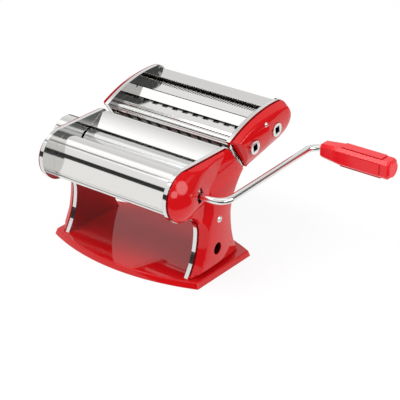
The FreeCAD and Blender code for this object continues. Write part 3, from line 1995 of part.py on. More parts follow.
faults = [o.Label for o in doc.Objects if "Invalid" in o.State or "Error" in o.State]
for label, item in kept.items():
    if item.Shape.isNull() or not item.Shape.isValid():
        faults.append(f"{label}: no valid shape")
    if not item.Shape.Solids:
        faults.append(f"{label}: no solid")
if faults:
    raise RuntimeError("failed: " + ", ".join(faults))

os.makedirs("parts", exist_ok=True)
for label, item in kept.items():
    item.Shape.exportStep(f"parts/{label}.step")
    print(label, len(item.Shape.Solids), round(item.Shape.Volume, 1))
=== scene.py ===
import bpy
import json
import math
import numpy as np
from mathutils import Matrix, Vector
from mathutils.geometry import delaunay_2d_cdt


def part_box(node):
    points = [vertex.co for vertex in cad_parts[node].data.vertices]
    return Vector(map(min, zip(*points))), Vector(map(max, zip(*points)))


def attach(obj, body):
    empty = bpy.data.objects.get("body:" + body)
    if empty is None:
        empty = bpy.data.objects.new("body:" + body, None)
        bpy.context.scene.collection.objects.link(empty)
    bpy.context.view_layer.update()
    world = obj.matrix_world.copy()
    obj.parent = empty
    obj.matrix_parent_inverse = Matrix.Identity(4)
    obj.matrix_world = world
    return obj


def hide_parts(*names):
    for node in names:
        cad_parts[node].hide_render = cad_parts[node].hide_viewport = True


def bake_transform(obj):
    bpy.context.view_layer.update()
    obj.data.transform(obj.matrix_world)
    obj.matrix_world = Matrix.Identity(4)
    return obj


# A hand-cranked pasta roller machine, put together from the base up: frame, rollers, crank,
# thickness knob, then the cutter head. Lengths are in metres, angles in degrees.

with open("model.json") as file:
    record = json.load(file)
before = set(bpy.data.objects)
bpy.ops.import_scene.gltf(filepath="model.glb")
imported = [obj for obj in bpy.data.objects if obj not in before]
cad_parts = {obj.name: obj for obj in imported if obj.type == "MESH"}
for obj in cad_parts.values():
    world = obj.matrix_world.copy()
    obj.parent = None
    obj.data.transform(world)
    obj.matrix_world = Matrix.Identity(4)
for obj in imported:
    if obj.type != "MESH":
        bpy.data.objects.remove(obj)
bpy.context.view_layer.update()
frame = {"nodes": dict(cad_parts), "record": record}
nodes = frame["nodes"]
scene = bpy.context.scene
mm = 0.001

# Photographer's table: a sheet of white paper under two softboxes. Polished metal also sees the
# room round it, in light and dark bands with three bright lamps, so that chrome and enamel have
# something to reflect.

scene.view_settings.view_transform = "Standard"


class Value:
    """A socket of a finish's node tree. Python's operators on it add Math nodes."""

    def __init__(self, finish, socket):
        self.finish = finish
        self.socket = socket

    def __add__(self, other):
        return self.finish.node("ShaderNodeMath", {"operation": "ADD"}, {0: self, 1: other})

    def __radd__(self, other):
        return self + other

    def __sub__(self, other):
        return self.finish.node("ShaderNodeMath", {"operation": "SUBTRACT"}, {0: self, 1: other})

    def __rsub__(self, other):
        return self.finish.node("ShaderNodeMath", {"operation": "SUBTRACT"}, {0: other, 1: self})

    def __mul__(self, other):
        return self.finish.node("ShaderNodeMath", {"operation": "MULTIPLY"}, {0: self, 1: other})

    def __rmul__(self, other):
        return self * other

    def clipped(self):
        """The value held between 0 and 1."""
        settings = {"operation": "ADD", "use_clamp": True}
        return self.finish.node("ShaderNodeMath", settings, {0: self, 1: 0.0})


class Finish:
    """A node tree being built: one method adds any node, sets it up and links it."""

    def __init__(self, tree):
        self.tree = tree

    def node(self, kind, settings=None, sockets=None, output=0):
        """Adds a node with its settings and its sockets' values or links, and gives one output."""
        made = self.tree.nodes.new(kind)
        for key, value in (settings or {}).items():
            if key == "stops":
                ramp = made.color_ramp
                while len(ramp.elements) < len(value):
                    ramp.elements.new(1.0)
                for element, (place, colour) in zip(ramp.elements, value):
                    element.position = place
                    element.color = (*colour, 1.0)
            else:
                setattr(made, key, value)
        for key, value in (sockets or {}).items():
            if isinstance(value, Value):
                self.tree.links.new(value.socket, made.inputs[key])
            else:
                made.inputs[key].default_value = value
        return Value(self, made.outputs[output]) if made.outputs else None


def colours(finish, factor, low, high):
    """A colour between two, by a factor. Each is a plain colour or comes from a node."""
    ends = [end if isinstance(end, Value) else (*end, 1.0) for end in (low, high)]
    sockets = {"Factor": factor, "A": ends[0], "B": ends[1]}
    return finish.node("ShaderNodeMix", {"data_type": "RGBA"}, sockets, output=2)


def paper(name, table_end, table_edge):
    """White paper that keeps a soft shadow. A mirror sees it pale as far as the table reaches and
    dark beyond. The table's right end runs back on a slant."""
    sheet_white, glow = (0.93, 0.93, 0.93, 1.0), 0.85
    pale, dark = (0.84, 0.84, 0.83), (0.05, 0.05, 0.05)
    slant, slant_start = 3.0, 0.08
    end_blur, edge_blur = 0.03, 0.15
    material = bpy.data.materials.new(name)
    material.use_nodes = True
    material.node_tree.nodes.clear()
    finish = Finish(material.node_tree)
    matt = finish.node("ShaderNodeBsdfDiffuse", None, {"Color": sheet_white})
    lit = finish.node("ShaderNodeEmission", None, {"Color": (1.0, 1.0, 1.0, 1.0), "Strength": 1.0})
    eye = finish.node("ShaderNodeLightPath", output="Is Camera Ray")
    seen = finish.node("ShaderNodeMixShader", None, {0: glow * eye, 1: matt, 2: lit})
    place = finish.node("ShaderNodeTexCoord", output="Object")
    reach = finish.node("ShaderNodeVectorMath", {"operation": "LENGTH"}, {0: place}, output="Value")
    across = finish.node("ShaderNodeSeparateXYZ", None, {0: place})
    back = finish.node("ShaderNodeSeparateXYZ", None, {0: place}, output=1)
    slanted = across - slant * (back - slant_start).clipped()
    past_end = ((slanted - table_end) * (1 / end_blur)).clipped()
    past_edge = (past_end + ((reach - table_edge) * (1 / edge_blur)).clipped()).clipped()
    shade = colours(finish, past_edge, pale, dark)
    in_mirror = finish.node("ShaderNodeEmission", None, {"Color": shade, "Strength": 1.0})
    mirror = finish.node("ShaderNodeLightPath", output="Is Glossy Ray")
    mixed = finish.node("ShaderNodeMixShader", None, {0: mirror, 1: seen, 2: in_mirror})
    finish.node("ShaderNodeOutputMaterial", None, {"Surface": mixed})
    return material


def deselect():
    """Leaves edit mode with nothing selected."""
    if bpy.context.object and bpy.context.object.mode == "EDIT":
        bpy.ops.object.mode_set(mode="OBJECT")
    bpy.ops.object.select_all(action="DESELECT")


deselect()
bpy.ops.mesh.primitive_plane_add(size=6.0, location=(0, 0, 0))
floor = bpy.context.object
floor.name = "floor"
floor.data.materials.append(paper("white_paper", table_end=0.20, table_edge=0.85))

world = bpy.data.worlds.new("studio")
scene.world = world
world.use_nodes = True
world.node_tree.nodes.clear()
room = Finish(world.node_tree)
eye = room.node("ShaderNodeLightPath", output="Is Camera Ray")
mirror = room.node("ShaderNodeLightPath", output="Is Glossy Ray")
sight_line = room.node("ShaderNodeTexCoord", output="Object")


def towards(direction):
    """How far the sight line points in a direction: 1 straight at it, 0 across it."""
    settings, sockets = {"operation": "DOT_PRODUCT"}, {0: sight_line, 1: direction}
    return room.node("ShaderNodeVectorMath", settings, sockets, output="Value")


def band(value, low, high, soft):
    """1 where a value lies between two limits, softened at both."""
    return ((value - low) * (1 / soft)).clipped() * ((high - value) * (1 / soft)).clipped()


rise = towards((0, 0, 1))
front = towards((0, -1, 0))
right = towards((1, 0, 0))
height = room.node("ShaderNodeMath", {"operation": "ARCTAN2"}, {0: rise, 1: front})
strips = (  # angle up from the front horizon and over the machine, and brightness
    (-20, 0.03),
    (15, 0.03),
    (17, 0.80),
    (51, 0.82),
    (54, 1.00),
    (59, 1.00),
    (60.5, 0.28),
    (68, 0.30),
    (70, 1.00),
    (94, 1.18),
    (106, 0.66),
    (128, 0.72),
    (146, 0.80),
    (162, 0.80),
    (172, 0.25),
)
lamps = room.node(
    "ShaderNodeValToRGB",
    {"stops": [((angle + 180) / 360, (level,) * 3) for angle, level in strips]},
    {"Fac": height * (1 / math.tau) + 0.5},
)
no_limit = 1.2
wall_dark, lamp_bright = (0.13, 0.13, 0.13), (3.6, 3.6, 3.6)
even_light, white = (0.72, 0.72, 0.72), (1.0, 1.0, 1.0)
behind = band(right, 0.35, no_limit, 0.12) * band(front, -no_limit, 0.02, 0.10)
beside = band(right, 0.66, no_limit, 0.10)
dark_wall = (behind + beside).clipped() * band(rise, -no_limit, 0.86, 0.06)
walls = colours(room, dark_wall, lamps, wall_dark)
for way, narrow, blur in (
    ((0.915, 0.150, 0.375), 0.925, 0.035),
    ((0.915, -0.350, 0.200), 0.975, 0.015),
    ((-0.456, -0.420, 0.784), 0.990, 0.004),
):
    walls = colours(room, band(towards(way), narrow, no_limit, blur), walls, lamp_bright)
soft = colours(room, mirror, even_light, walls)
seen = colours(room, eye, soft, white)
light = room.node("ShaderNodeBackground", None, {"Color": seen, "Strength": 1.0})
room.node("ShaderNodeOutputWorld", None, {"Surface": light})


def softbox(name, place, target, width, height, power):
    """A rectangular lamp that looks at a point and shows in no reflection."""
    lamp = bpy.data.lights.new(name, "AREA")
    lamp.shape = "RECTANGLE"
    lamp.size = width
    lamp.size_y = height
    lamp.energy = power
    stand = bpy.data.objects.new(name, lamp)
    stand.location = place
    stand.rotation_euler = (Vector(target) - Vector(place)).to_track_quat("-Z", "Y").to_euler()
    stand.visible_glossy = False
    scene.collection.objects.link(stand)


machine_middle = (0, 0, 0.08)
softbox("key_softbox", (-0.45, -0.45, 1.45), machine_middle, width=0.9, height=0.9, power=14.0)
softbox("side_softbox", (1.5, -0.1, 0.9), machine_middle, width=0.7, height=0.9, power=9.0)

camera_lens, film_width = 120.465, 36.0
camera_place = Vector((0.80109, -0.94921, 0.67723))
camera_turn = 37.791
camera_dip = 26.711
turn, dip = math.radians(camera_turn), math.radians(camera_dip)
sight = Vector((-math.sin(turn) * math.cos(dip), math.cos(turn) * math.cos(dip), -math.sin(dip)))
camera = bpy.data.objects.new("camera", bpy.data.cameras.new("camera"))
camera.data.lens = camera_lens
camera.data.sensor_width = film_width
camera.location = camera_place
camera.rotation_euler = sight.to_track_quat("-Z", "Y").to_euler()
scene.collection.objects.link(camera)
scene.camera = camera

# Base: a pressed steel tray with bowed long sides, stamped in one hit and enamelled red.
# Its edges are rounded by the die, and the enamel has a faint orange-peel.

body_of = {
    node: body
    for body, members in frame["record"]["behaviour"]["bodies"].items()
    for node in members
}


def new_finish(name, **constants):
    """The Finish of a new material whose shader has these constant sockets."""
    material = bpy.data.materials.new(name)
    material.use_nodes = True
    shader = material.node_tree.nodes["Principled BSDF"]
    for socket, value in constants.items():
        shader.inputs[socket.replace("_", " ")].default_value = value
    finish = Finish(material.node_tree)
    finish.material = material
    finish.shader = shader
    return finish


def feed(finish, **values):
    """Links values to the shader's sockets."""
    for socket, value in values.items():
        finish.tree.links.new(value.socket, finish.shader.inputs[socket.replace("_", " ")])


def place_of(finish, scale):
    """Object coordinates stretched by a scale on each axis."""
    place = finish.node("ShaderNodeTexCoord", output="Object")
    return finish.node("ShaderNodeMapping", None, {"Vector": place, "Scale": scale})


def noise(finish, scale, detail=3.0, roughness=0.55):
    """Smooth random values about a half, with scale cycles to the metre on each axis."""
    return finish.node(
        "ShaderNodeTexNoise",
        None,
        {"Vector": place_of(finish, scale), "Scale": 1.0, "Detail": detail, "Roughness": roughness},
    )


def bump(finish, height, strength, distance):
    """A normal that follows small heights, distance being the full height in metres."""
    sockets = {"Height": height, "Strength": strength, "Distance": distance}
    return finish.node("ShaderNodeBump", None, sockets)


def red_enamel(name, low, high):
    """Thick gloss stove enamel: a deep red with a clear skin, faintly uneven."""
    finish = new_finish(name, Coat_Roughness=0.03, Specular_IOR_Level=0.0)
    cloud = noise(finish, (22, 22, 22), 4.0)
    peel = noise(finish, (420, 420, 420), 2.0)
    feed(
        finish,
        Base_Color=colours(finish, cloud, low, high),
        Roughness=0.35 + 0.12 * cloud,
        Coat_Weight=0.85 + 0.15 * cloud,
        Normal=bump(finish, peel, 0.05, 0.3 * mm),
    )
    return finish.material


red_paint = red_enamel("red_enamel", (0.52, 0.004, 0.006), (0.58, 0.006, 0.009))


def coated(piece, material):
    """Gives a piece one finish all over."""
    piece.data.materials.clear()
    piece.data.materials.append(material)


def finished(piece, node, material):
    """Makes a piece stand for a CAD node: it gets one finish and rides on the node's body, and the
    node is hidden.
    """
    coated(piece, material)
    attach(piece, body_of[node])
    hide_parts(node)
    return piece


def activate(piece):
    """Makes a piece the only one selected."""
    deselect()
    piece.select_set(True)
    bpy.context.view_layer.objects.active = piece


def apply_modifiers(piece):
    """Turns a piece's modifiers into its mesh."""
    activate(piece)
    for modifier in list(piece.modifiers):
        bpy.ops.object.modifier_apply(modifier=modifier.name)


def smooth(piece, angle):
    """Shades a piece smoothly up to an angle, with its larger faces leading."""
    activate(piece)
    bpy.ops.object.shade_smooth_by_angle(angle=math.radians(angle))
    weights = piece.modifiers.new("weights", "WEIGHTED_NORMAL")
    weights.keep_sharp = True
    apply_modifiers(piece)


def merged_copy(node, flat_angle):
    """A copy of a CAD node with its doubles merged and its flat faces joined."""
    piece = bpy.data.objects.new(f"{node}_skin", nodes[node].data.copy())
    scene.collection.objects.link(piece)
    activate(piece)
    bpy.ops.object.mode_set(mode="EDIT")
    bpy.ops.mesh.select_all(action="SELECT")
    bpy.ops.mesh.remove_doubles(threshold=0.002 * mm)
    if flat_angle:
        bpy.ops.mesh.dissolve_limited(angle_limit=math.radians(flat_angle))
    bpy.ops.object.mode_set(mode="OBJECT")
    return piece


def rounded(piece, edge, segments, angle):
    """Rounds the edges of a piece that are sharper than an angle."""
    rounding = piece.modifiers.new("rounding", "BEVEL")
    rounding.width = edge
    rounding.segments = segments
    rounding.limit_method = "ANGLE"
    rounding.angle_limit = math.radians(angle)
    apply_modifiers(piece)


def dressed(node, material, edge=0.3 * mm, segments=2, flat_angle=0.3, smooth_angle=32.0):
    """A copy of a CAD node with its sharp edges rounded a little."""
    piece = merged_copy(node, flat_angle)
    if edge:
        rounded(piece, edge, segments, 40)
    smooth(piece, smooth_angle)
    return finished(piece, node, material)


dressed("base_plate", red_paint, edge=1.2 * mm, segments=4)

# Inner plates: sheet steel with a rim turned outwards all round, chromed after pressing.
# The rollers run between them and the red covers sit on their rims.


def chrome_plate(name, colour, rough):
    """Polished chrome over steel, with the faint haze that hands and cloths leave."""
    finish = new_finish(name, Metallic=1.0)
    haze = noise(finish, (45, 45, 45), 5.0)
    ripple = noise(finish, (160, 160, 160), 2.0)
    bright = tuple(min(1.0, 1.06 * c) for c in colour)
    feed(
        finish,
        Base_Color=colours(finish, haze, colour, bright),
        Roughness=rough + 0.05 * haze,
        Normal=bump(finish, ripple, 0.03, 0.3 * mm),
    )
    return finish.material


chrome = chrome_plate("chrome", (0.86, 0.86, 0.85), 0.04)


def plate_chrome(name, inner_face, dull_and_shaded_colour):
    """A pressed plate: its rim is polished, and its face towards the rollers is left a little rougher
    and painted darker, as painted shade between the plates.
    """
    finish = new_finish(name, Metallic=1.0)
    haze = noise(finish, (45, 45, 45), 5.0)
    place = finish.node("ShaderNodeTexCoord", output="Object")
    across = finish.node("ShaderNodeSeparateXYZ", None, {0: place})
    far = finish.node("ShaderNodeMath", {"operation": "ABSOLUTE"}, {0: across})
    polish_start, polish_blur = inner_face + 0.4 * mm, 0.2 * mm
    # Painted shade: the face towards the rollers gets a darker colour, standing in for the shade
    # between the plates; it is also made a little rougher.
    dull_and_shaded = ((polish_start - far) * (1 / polish_blur)).clipped()
    polished = colours(finish, haze, (0.84, 0.84, 0.83), (0.90, 0.90, 0.89))
    feed(
        finish,
        Base_Color=colours(finish, dull_and_shaded, polished, dull_and_shaded_colour),
        Roughness=0.05 + 0.05 * haze + 0.03 * dull_and_shaded,
    )
    return finish.material


# The plates' inner faces are painted a darker grey, as painted shade between them.
frame_chrome = plate_chrome("frame_chrome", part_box("right_inner_plate")[0].x, (0.70, 0.70, 0.69))
for side in ("left", "right"):
    dressed(f"{side}_inner_plate", frame_chrome, edge=0, flat_angle=0)

# Side covers: deep-drawn steel shells, a bulging wing over the rollers and a crowned leg, with a
# soft valley where the two meet and a rolled edge all round. Enamelled like the base.


def traced(corners, step):
    """Points along a closed run of lines and arcs, about a step apart. A corner is y, z and, where
    an arc follows, its radius: positive turns left, negative right."""
    points = []
    for i, corner in enumerate(corners):
        start = np.array(corner[:2])
        end = np.array(corners[(i + 1) % len(corners)][:2])
        chord = end - start
        length = np.linalg.norm(chord)
        count = max(1, round(length / step))
        ways = np.arange(count) / count
        if len(corner) == 2:
            points += [start + chord * way for way in ways]
            continue
        radius = corner[2]
        left = np.array((-chord[1], chord[0])) / length
        reach = math.sqrt(max(radius**2 - (length / 2) ** 2, 0.0))
        centre = (start + end) / 2 + left * math.copysign(reach, radius)
        swing = math.copysign(2 * math.asin(min(1.0, length / 2 / abs(radius))), radius)
        first = math.atan2(*(start - centre)[::-1])
        for way in ways:
            angle = first + swing * way
            points.append(centre + abs(radius) * np.array((math.cos(angle), math.sin(angle))))
    return np.array(points)


def edge_distance(points, outline):
    """How far inside a closed outline each point is, negative outside."""
    best = np.full(len(points), np.inf)
    crossings = np.zeros(len(points), int)
    for start, end in zip(outline, np.roll(outline, -1, axis=0)):
        along = end - start
        share = np.clip(((points - start) @ along) / (along @ along), 0, 1)
        foot = start + share[:, None] * along
        best = np.minimum(best, np.linalg.norm(points - foot, axis=1))
        spans = (start[1] > points[:, 1]) != (end[1] > points[:, 1])
        rise = along[1] if along[1] else 1e-12
        crossing_y = start[0] + (points[:, 1] - start[1]) * along[0] / rise
        crossings += spans & (points[:, 0] < crossing_y)
    return np.where(crossings % 2 == 1, best, -best)


def higher(first, second, blend):
    """The higher of two surfaces, with the valley between them softened over a height."""
    share = np.clip(0.5 + 0.5 * (first - second) / blend, 0, 1)
    return second * (1 - share) + first * share + blend * share * (1 - share)


def lower(first, second, blend):
    """The lower of two surfaces, with the ridge between them rounded over a height."""
    return -higher(-first, -second, blend)


def pressed_cover(name, outline, surface, seat, cell, groove, wall):
    """A shell over a closed outline: the outline is filled with a fine net, which is raised to a
    surface. The border is rolled in over a groove and down to the seat, and the sheet gets its
    wall."""
    border_room = 0.6 * cell
    low, high = outline.min(axis=0), outline.max(axis=0)
    count = np.ceil((high - low) / cell).astype(int)
    rows, columns = np.meshgrid(np.arange(count[1]), np.arange(count[0]), indexing="ij")
    shifted = columns + 0.5 * (rows % 2)
    net = low + np.column_stack((shifted.ravel(), rows.ravel())) * cell
    points = np.concatenate((outline, net[edge_distance(net, outline) > border_room]))
    border = len(outline)
    rim = [(i, (i + 1) % border) for i in range(border)]
    filled = delaunay_2d_cdt([Vector(point) for point in points], rim, [], 1, 1e-7)
    places = np.array([tuple(point) for point in filled[0]])
    inside = np.maximum(edge_distance(places, outline), 0)
    middles = np.array([places[list(face)].mean(axis=0) for face in filled[2]])
    kept = edge_distance(middles, outline) > 0
    faces = [face for face, keep in zip(filled[2], kept) if keep]
    corners = np.column_stack((surface(places, inside), places))
    mesh = bpy.data.meshes.new(name)
    mesh.from_pydata(corners.tolist(), [], faces)
    piece = bpy.data.objects.new(name, mesh)
    scene.collection.objects.link(piece)
    activate(piece)
    ways = np.roll(outline, -1, axis=0) - np.roll(outline, 1, axis=0)
    inward = np.column_stack((-ways[:, 1], ways[:, 0])) / np.linalg.norm(ways, axis=1)[:, None]
    bpy.ops.object.mode_set(mode="EDIT")
    bpy.ops.mesh.select_mode(type="EDGE")
    bpy.ops.mesh.select_all(action="DESELECT")
    bpy.ops.mesh.select_non_manifold(
        extend=False, use_wire=False, use_multi_face=False, use_verts=False
    )
    for drawn_in in (True, False):
        bpy.ops.mesh.extrude_region_move()
        bpy.ops.object.mode_set(mode="OBJECT")
        for vertex in mesh.vertices:
            if vertex.select and drawn_in:
                at = np.argmin(np.sum((outline - (vertex.co.y, vertex.co.z)) ** 2, axis=1))
                vertex.co.y += groove * inward[at][0]
                vertex.co.z += groove * inward[at][1]
            elif vertex.select:
                vertex.co.x = seat
        bpy.ops.object.mode_set(mode="EDIT")
    bpy.ops.mesh.select_all(action="SELECT")
    bpy.ops.mesh.normals_make_consistent(inside=False)
    bpy.ops.object.mode_set(mode="OBJECT")
    if sum(face.normal.x * face.area for face in mesh.polygons) < 0:
        bpy.ops.object.mode_set(mode="EDIT")
        bpy.ops.mesh.flip_normals()
        bpy.ops.object.mode_set(mode="OBJECT")
    skin = piece.modifiers.new("wall", "SOLIDIFY")
    skin.thickness = wall
    skin.offset = -1.0
    skin.use_even_offset = False
    apply_modifiers(piece)
    return piece


def pierced(piece, others, operation="DIFFERENCE"):
    """Cuts other shapes out of a piece, or joins them to it, and removes them."""
    for other in others:
        hole = piece.modifiers.new("hole", "BOOLEAN")
        hole.operation = operation
        hole.object = other
        hole.solver = "EXACT"
    apply_modifiers(piece)
    for other in others:
        bpy.data.objects.remove(other)


def block(place, size):
    """A square cutter, or a filling."""
    deselect()
    bpy.ops.mesh.primitive_cube_add(size=1.0, location=place)
    bpy.context.object.scale = size
    return bpy.context.object


def round_cutter(place, radius, length):
    """A drill along X."""
    deselect()
    bpy.ops.mesh.primitive_cylinder_add(
        vertices=64, radius=radius, depth=length, location=place, rotation=(0, math.pi / 2, 0)
    )
    return bpy.context.object


bulb_y, bulb_z, bulb_radius = -48.5 * mm, 101.5 * mm, 27.2 * mm
base_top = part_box("base_plate")[1].z
cover_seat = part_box("right_side_cover")[0].x
cover_cell = 0.9 * mm
cover_wall = 1.2 * mm
cover_lip = 2.2 * mm
cover_slope, cover_round = 1.6, 1.5 * mm
cover_groove = 1.3 * mm
cover_inset = 0.8 * mm


def plate_outline(inset):
    """The side plates' outline in Y and Z, drawn in by inset."""
    bulb = bulb_radius - inset
    top = bulb_z + bulb
    waist_front, waist_rear, waist_rear_z = -27.5 * mm, 24.5 * mm, 58.0 * mm
    foot_front, foot_rear = -43.0 * mm, 38.5 * mm
    horn, peak = np.array((46.8, 98.0)) * mm, np.array((20.5, 128.7)) * mm
    peak_round = 3.5 * mm
    scoop = waist_front - bulb_y
    waist_front_z = bulb_z - bulb_radius - scoop
    toe, front_rise = waist_front - foot_front, waist_front_z - base_top
    heel, rear_rise = foot_rear - waist_rear, waist_rear_z - base_top
    horn_out, horn_up = horn - (waist_rear, waist_rear_z)
    front_radius = (toe**2 + front_rise**2) / (2 * toe)
    rear_radius = (heel**2 + rear_rise**2) / (2 * heel)
    horn_radius = (horn_out**2 + horn_up**2) / (2 * horn_out)
    slant = (peak - horn) / np.linalg.norm(peak - horn)
    scoop_way = np.array((horn_out - horn_radius, horn_up)) / horn_radius
    skew = slant[1] * scoop_way[1] + slant[0] * scoop_way[0]
    drawn_horn = horn + inset / skew * np.array((slant[0] - scoop_way[1], slant[1] + scoop_way[0]))
    drawn_peak = np.array((peak[0] - inset * (1 + slant[0]) / slant[1], top))
    tangent = peak_round * math.sqrt((1 + slant[0]) / (1 - slant[0]))
    before_peak = drawn_peak - slant * tangent
    return traced(
        [
            (*before_peak, peak_round),
            (drawn_peak[0] - tangent, top),
            (bulb_y, top, bulb),
            (bulb_y - bulb, bulb_z, bulb),
            (bulb_y, bulb_z - bulb, -(scoop + inset)),
            (waist_front + inset, waist_front_z, -(front_radius + inset)),
            (foot_front + inset, base_top),
            (foot_rear - inset, base_top, -(rear_radius + inset)),
            (waist_rear - inset, waist_rear_z, -(horn_radius + inset)),
            tuple(drawn_horn),
        ],
        0.5 * cover_cell,
    )


def along_line(places, line, values):
    """For each place: its distance from an open line (positive on the line's left), the value at
    the nearest point of the line, and the offset's share across the line."""
    best = np.full(len(places), np.inf)
    side = np.ones(len(places))
    value = np.zeros(len(places))
    share = np.zeros(len(places))
    for i in range(len(line) - 1):
        start, way = line[i], line[i + 1] - line[i]
        spot = np.clip(((places - start) @ way) / (way @ way), 0, 1)
        offset = places - (start + spot[:, None] * way)
        gap = np.linalg.norm(offset, axis=1)
        left = way[0] * offset[:, 1] - way[1] * offset[:, 0]
        closer = gap < best
        best[closer] = gap[closer]
        side[closer] = np.where(left[closer] < 0, -1, 1)
        value[closer] = (values[i] + spot * (values[i + 1] - values[i]))[closer]
        length = np.linalg.norm(way)
        share[closer] = (left / length / np.maximum(gap, 1e-9))[closer]
    return best * side, value, share


def under_wall(top, inside):
    """A pressing's top, cut down near its border to the drawn wall that rises from the lip."""
    return lower(top, cover_lip + cover_slope * inside, cover_round)


def domed(gap, height, radius):
    """A round-backed ridge: its crest's height, less the fall of an arc by the distance from it."""
    steepest = 0.97
    reach = np.minimum(np.abs(gap), steepest * radius)
    return height - (radius - np.sqrt(radius**2 - reach**2))


def side_surface(places, inside):
    """A side cover: an egg-shaped wing, a flat neck under it and a broad column for the leg. A
    sharp valley runs between wing and column from the peak to the crank hole, and on down to the
    waist."""
    crest = np.array(((-48.5, 101.5), (-22.0, 109.5), (0.0, 118.5), (14.0, 126.0))) * mm
    gap, height, share = along_line(places, crest, np.array((13.0, 12.2, 9.0, 4.5)) * mm)
    wing = domed(gap, height, (39 - 5 * share) * mm)
    valley = (
        (-33.0, 30.0),
        (-28.7, 56.0),
        (-24.8, 71.6),
        (-21.0, 86.0),
        (-17.0, 99.5),
        (-6.7, 107.5),
        (13.0, 128.5),
        (22.0, 138.0),
    )
    valley_drop = np.array((4.5, 4.5, 4.5, 2.5, 0.8, 0.4, 0.2, 0.2)) * mm
    left, edge_drop, _ = along_line(places, np.array(valley) * mm, valley_drop)
    right, up = -left, places[:, 1]
    column_height, bend_start, bend_radius = 10.5 * mm, 70 * mm, 220 * mm
    column_top = column_height - np.maximum(up - bend_start, 0) ** 2 / (2 * bend_radius)
    front_flank, rear_flank_start, valley_wall = 14 * mm, 16 * mm, 2.0
    waist, foot_reach = 58 * mm, 50 * mm
    rise = np.clip(1 - np.maximum(right, 0) / front_flank, 0, 1)
    rear_radius = (100 + 90 * np.clip((waist - up) / foot_reach, 0, 1)) * mm
    fall = np.maximum(right - rear_flank_start, 0) ** 2 / (2 * rear_radius)
    column = column_top - edge_drop * rise**2 - fall + valley_wall * np.minimum(right, 0)
    valley_slope = column_top - edge_drop + 0.22 * np.maximum(left, 0)
    beside = lower(wing, valley_slope, cover_round) - valley_wall * np.maximum(right, 0)
    neck_height, neck_fade, neck_start, absent = 6.0 * mm, 0.6, -40 * mm, -1.0
    bulb_side = np.minimum(places[:, 0] - neck_start, 0)
    neck = np.where(right > 0, absent, neck_height + neck_fade * bulb_side)
    top = higher(higher(beside, neck, 0.4 * mm), column, 0.3 * mm)
    return cover_seat + under_wall(top, inside)


def mirrored(piece, name):
    """The same pressing for the other side of the machine."""
    twin = bpy.data.objects.new(name, piece.data.copy())
    scene.collection.objects.link(twin)
    twin.data.transform(Matrix.Diagonal((-1.0, 1.0, 1.0, 1.0)))
    twin.data.flip_normals()
    return twin


right_cover = pressed_cover(
    "right_side_cover_skin",
    plate_outline(cover_inset),
    side_surface,
    cover_seat,
    cover_cell,
    cover_groove,
    cover_wall,
)
left_cover = mirrored(right_cover, "left_side_cover_skin")
crank_axis = Vector((0, -36.0 * mm, 100.0 * mm))
crank_rise = math.radians(2.0)
key_slot_width, key_slot_length, key_hole_radius = 6.6 * mm, 16.4 * mm, 6.0 * mm
clamp_hole, clamp_radius = Vector((0, -6.5 * mm, 29.5 * mm)), 6.5 * mm
knob_hole_radius = 8.6 * mm
to_cover, drill_length = Vector((90 * mm, 0, 0)), 40 * mm
key_slot = block(crank_axis + to_cover, (drill_length, key_slot_width, key_slot_length))
key_slot.rotation_euler = (crank_rise, 0, 0)
pierced(
    right_cover,
    [
        round_cutter(crank_axis + to_cover, key_hole_radius, drill_length),
        key_slot,
        round_cutter(clamp_hole + to_cover, clamp_radius, drill_length),
    ],
)
knob_low, knob_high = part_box("thickness_knob")
knob_axis = Vector((0, (knob_low.y + knob_high.y) / 2, (knob_low.z + knob_high.z) / 2))
pierced(left_cover, [round_cutter(knob_axis - to_cover, knob_hole_radius, drill_length)])
for side, cover in (("right", right_cover), ("left", left_cover)):
    smooth(cover, 40.0)
    finished(cover, f"{side}_side_cover", red_paint)

# Front and rear covers: thin stainless sheet, bent over a former. The sheet keeps the long fine
# lines of the rolling mill, which run from plate to plate.


def satin_sheet(name, colour, rough):
    """Stainless sheet with fine lines along X."""
    finish = new_finish(name, Metallic=1.0, Anisotropic=0.4)
    lines = noise(finish, (6, 2600, 2600), 2.0)
    bands = noise(finish, (2, 260, 260), 2.0)
    cloud = noise(finish, (30, 30, 30), 3.0)
    bright = tuple(min(1.0, 1.12 * c) for c in colour)
    feed(
        finish,
        Base_Color=colours(finish, 0.6 * lines + 0.4 * bands, colour, bright),
        Roughness=rough + 0.05 * lines + 0.03 * cloud,
        Normal=bump(finish, lines, 0.03, 0.2 * mm),
    )
    return finish.material


satin = satin_sheet("satin_sheet", (0.86, 0.85, 0.84), 0.05)
for node in ("front_cover", "rear_cover"):
    dressed(node, satin, edge=0.2 * mm, flat_angle=0.05, smooth_angle=35.0)
for node in ("front_scraper", "rear_scraper"):
    dressed(node, satin, edge=0.1 * mm)

# Small steel: tie rods, screws and pins, turned from bar, and the plain bronze bearings that the
# rollers turn in. The rods and the screws that show are plated.

machined = satin_sheet("machined_steel", (0.50, 0.50, 0.49), 0.26)


def bearing_bronze(name):
    """Plain bearing bronze, a little blotched."""
    finish = new_finish(name, Metallic=1.0)
    cloud = noise(finish, (120, 120, 120), 4.0)
    feed(
        finish,
        Base_Color=colours(finish, cloud, (0.52, 0.33, 0.14), (0.68, 0.47, 0.22)),
        Roughness=0.30 + 0.15 * cloud,
    )
    return finish.material


bronze = bearing_bronze("bearing_bronze")
dressed("tie_rods", chrome, edge=0.3 * mm)


def cross_recess(piece, node, y, z, width, depth):
    """Cuts a cross into the two screw heads that stand out at both ends of a line along X."""
    low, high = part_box(node)
    cutters = []
    for face in (low.x, high.x):
        for size in ((2 * depth, width, width / 4), (2 * depth, width / 4, width)):
            cutters.append(block((face, y, z), size))
    pierced(piece, cutters)
    smooth(piece, 32.0)


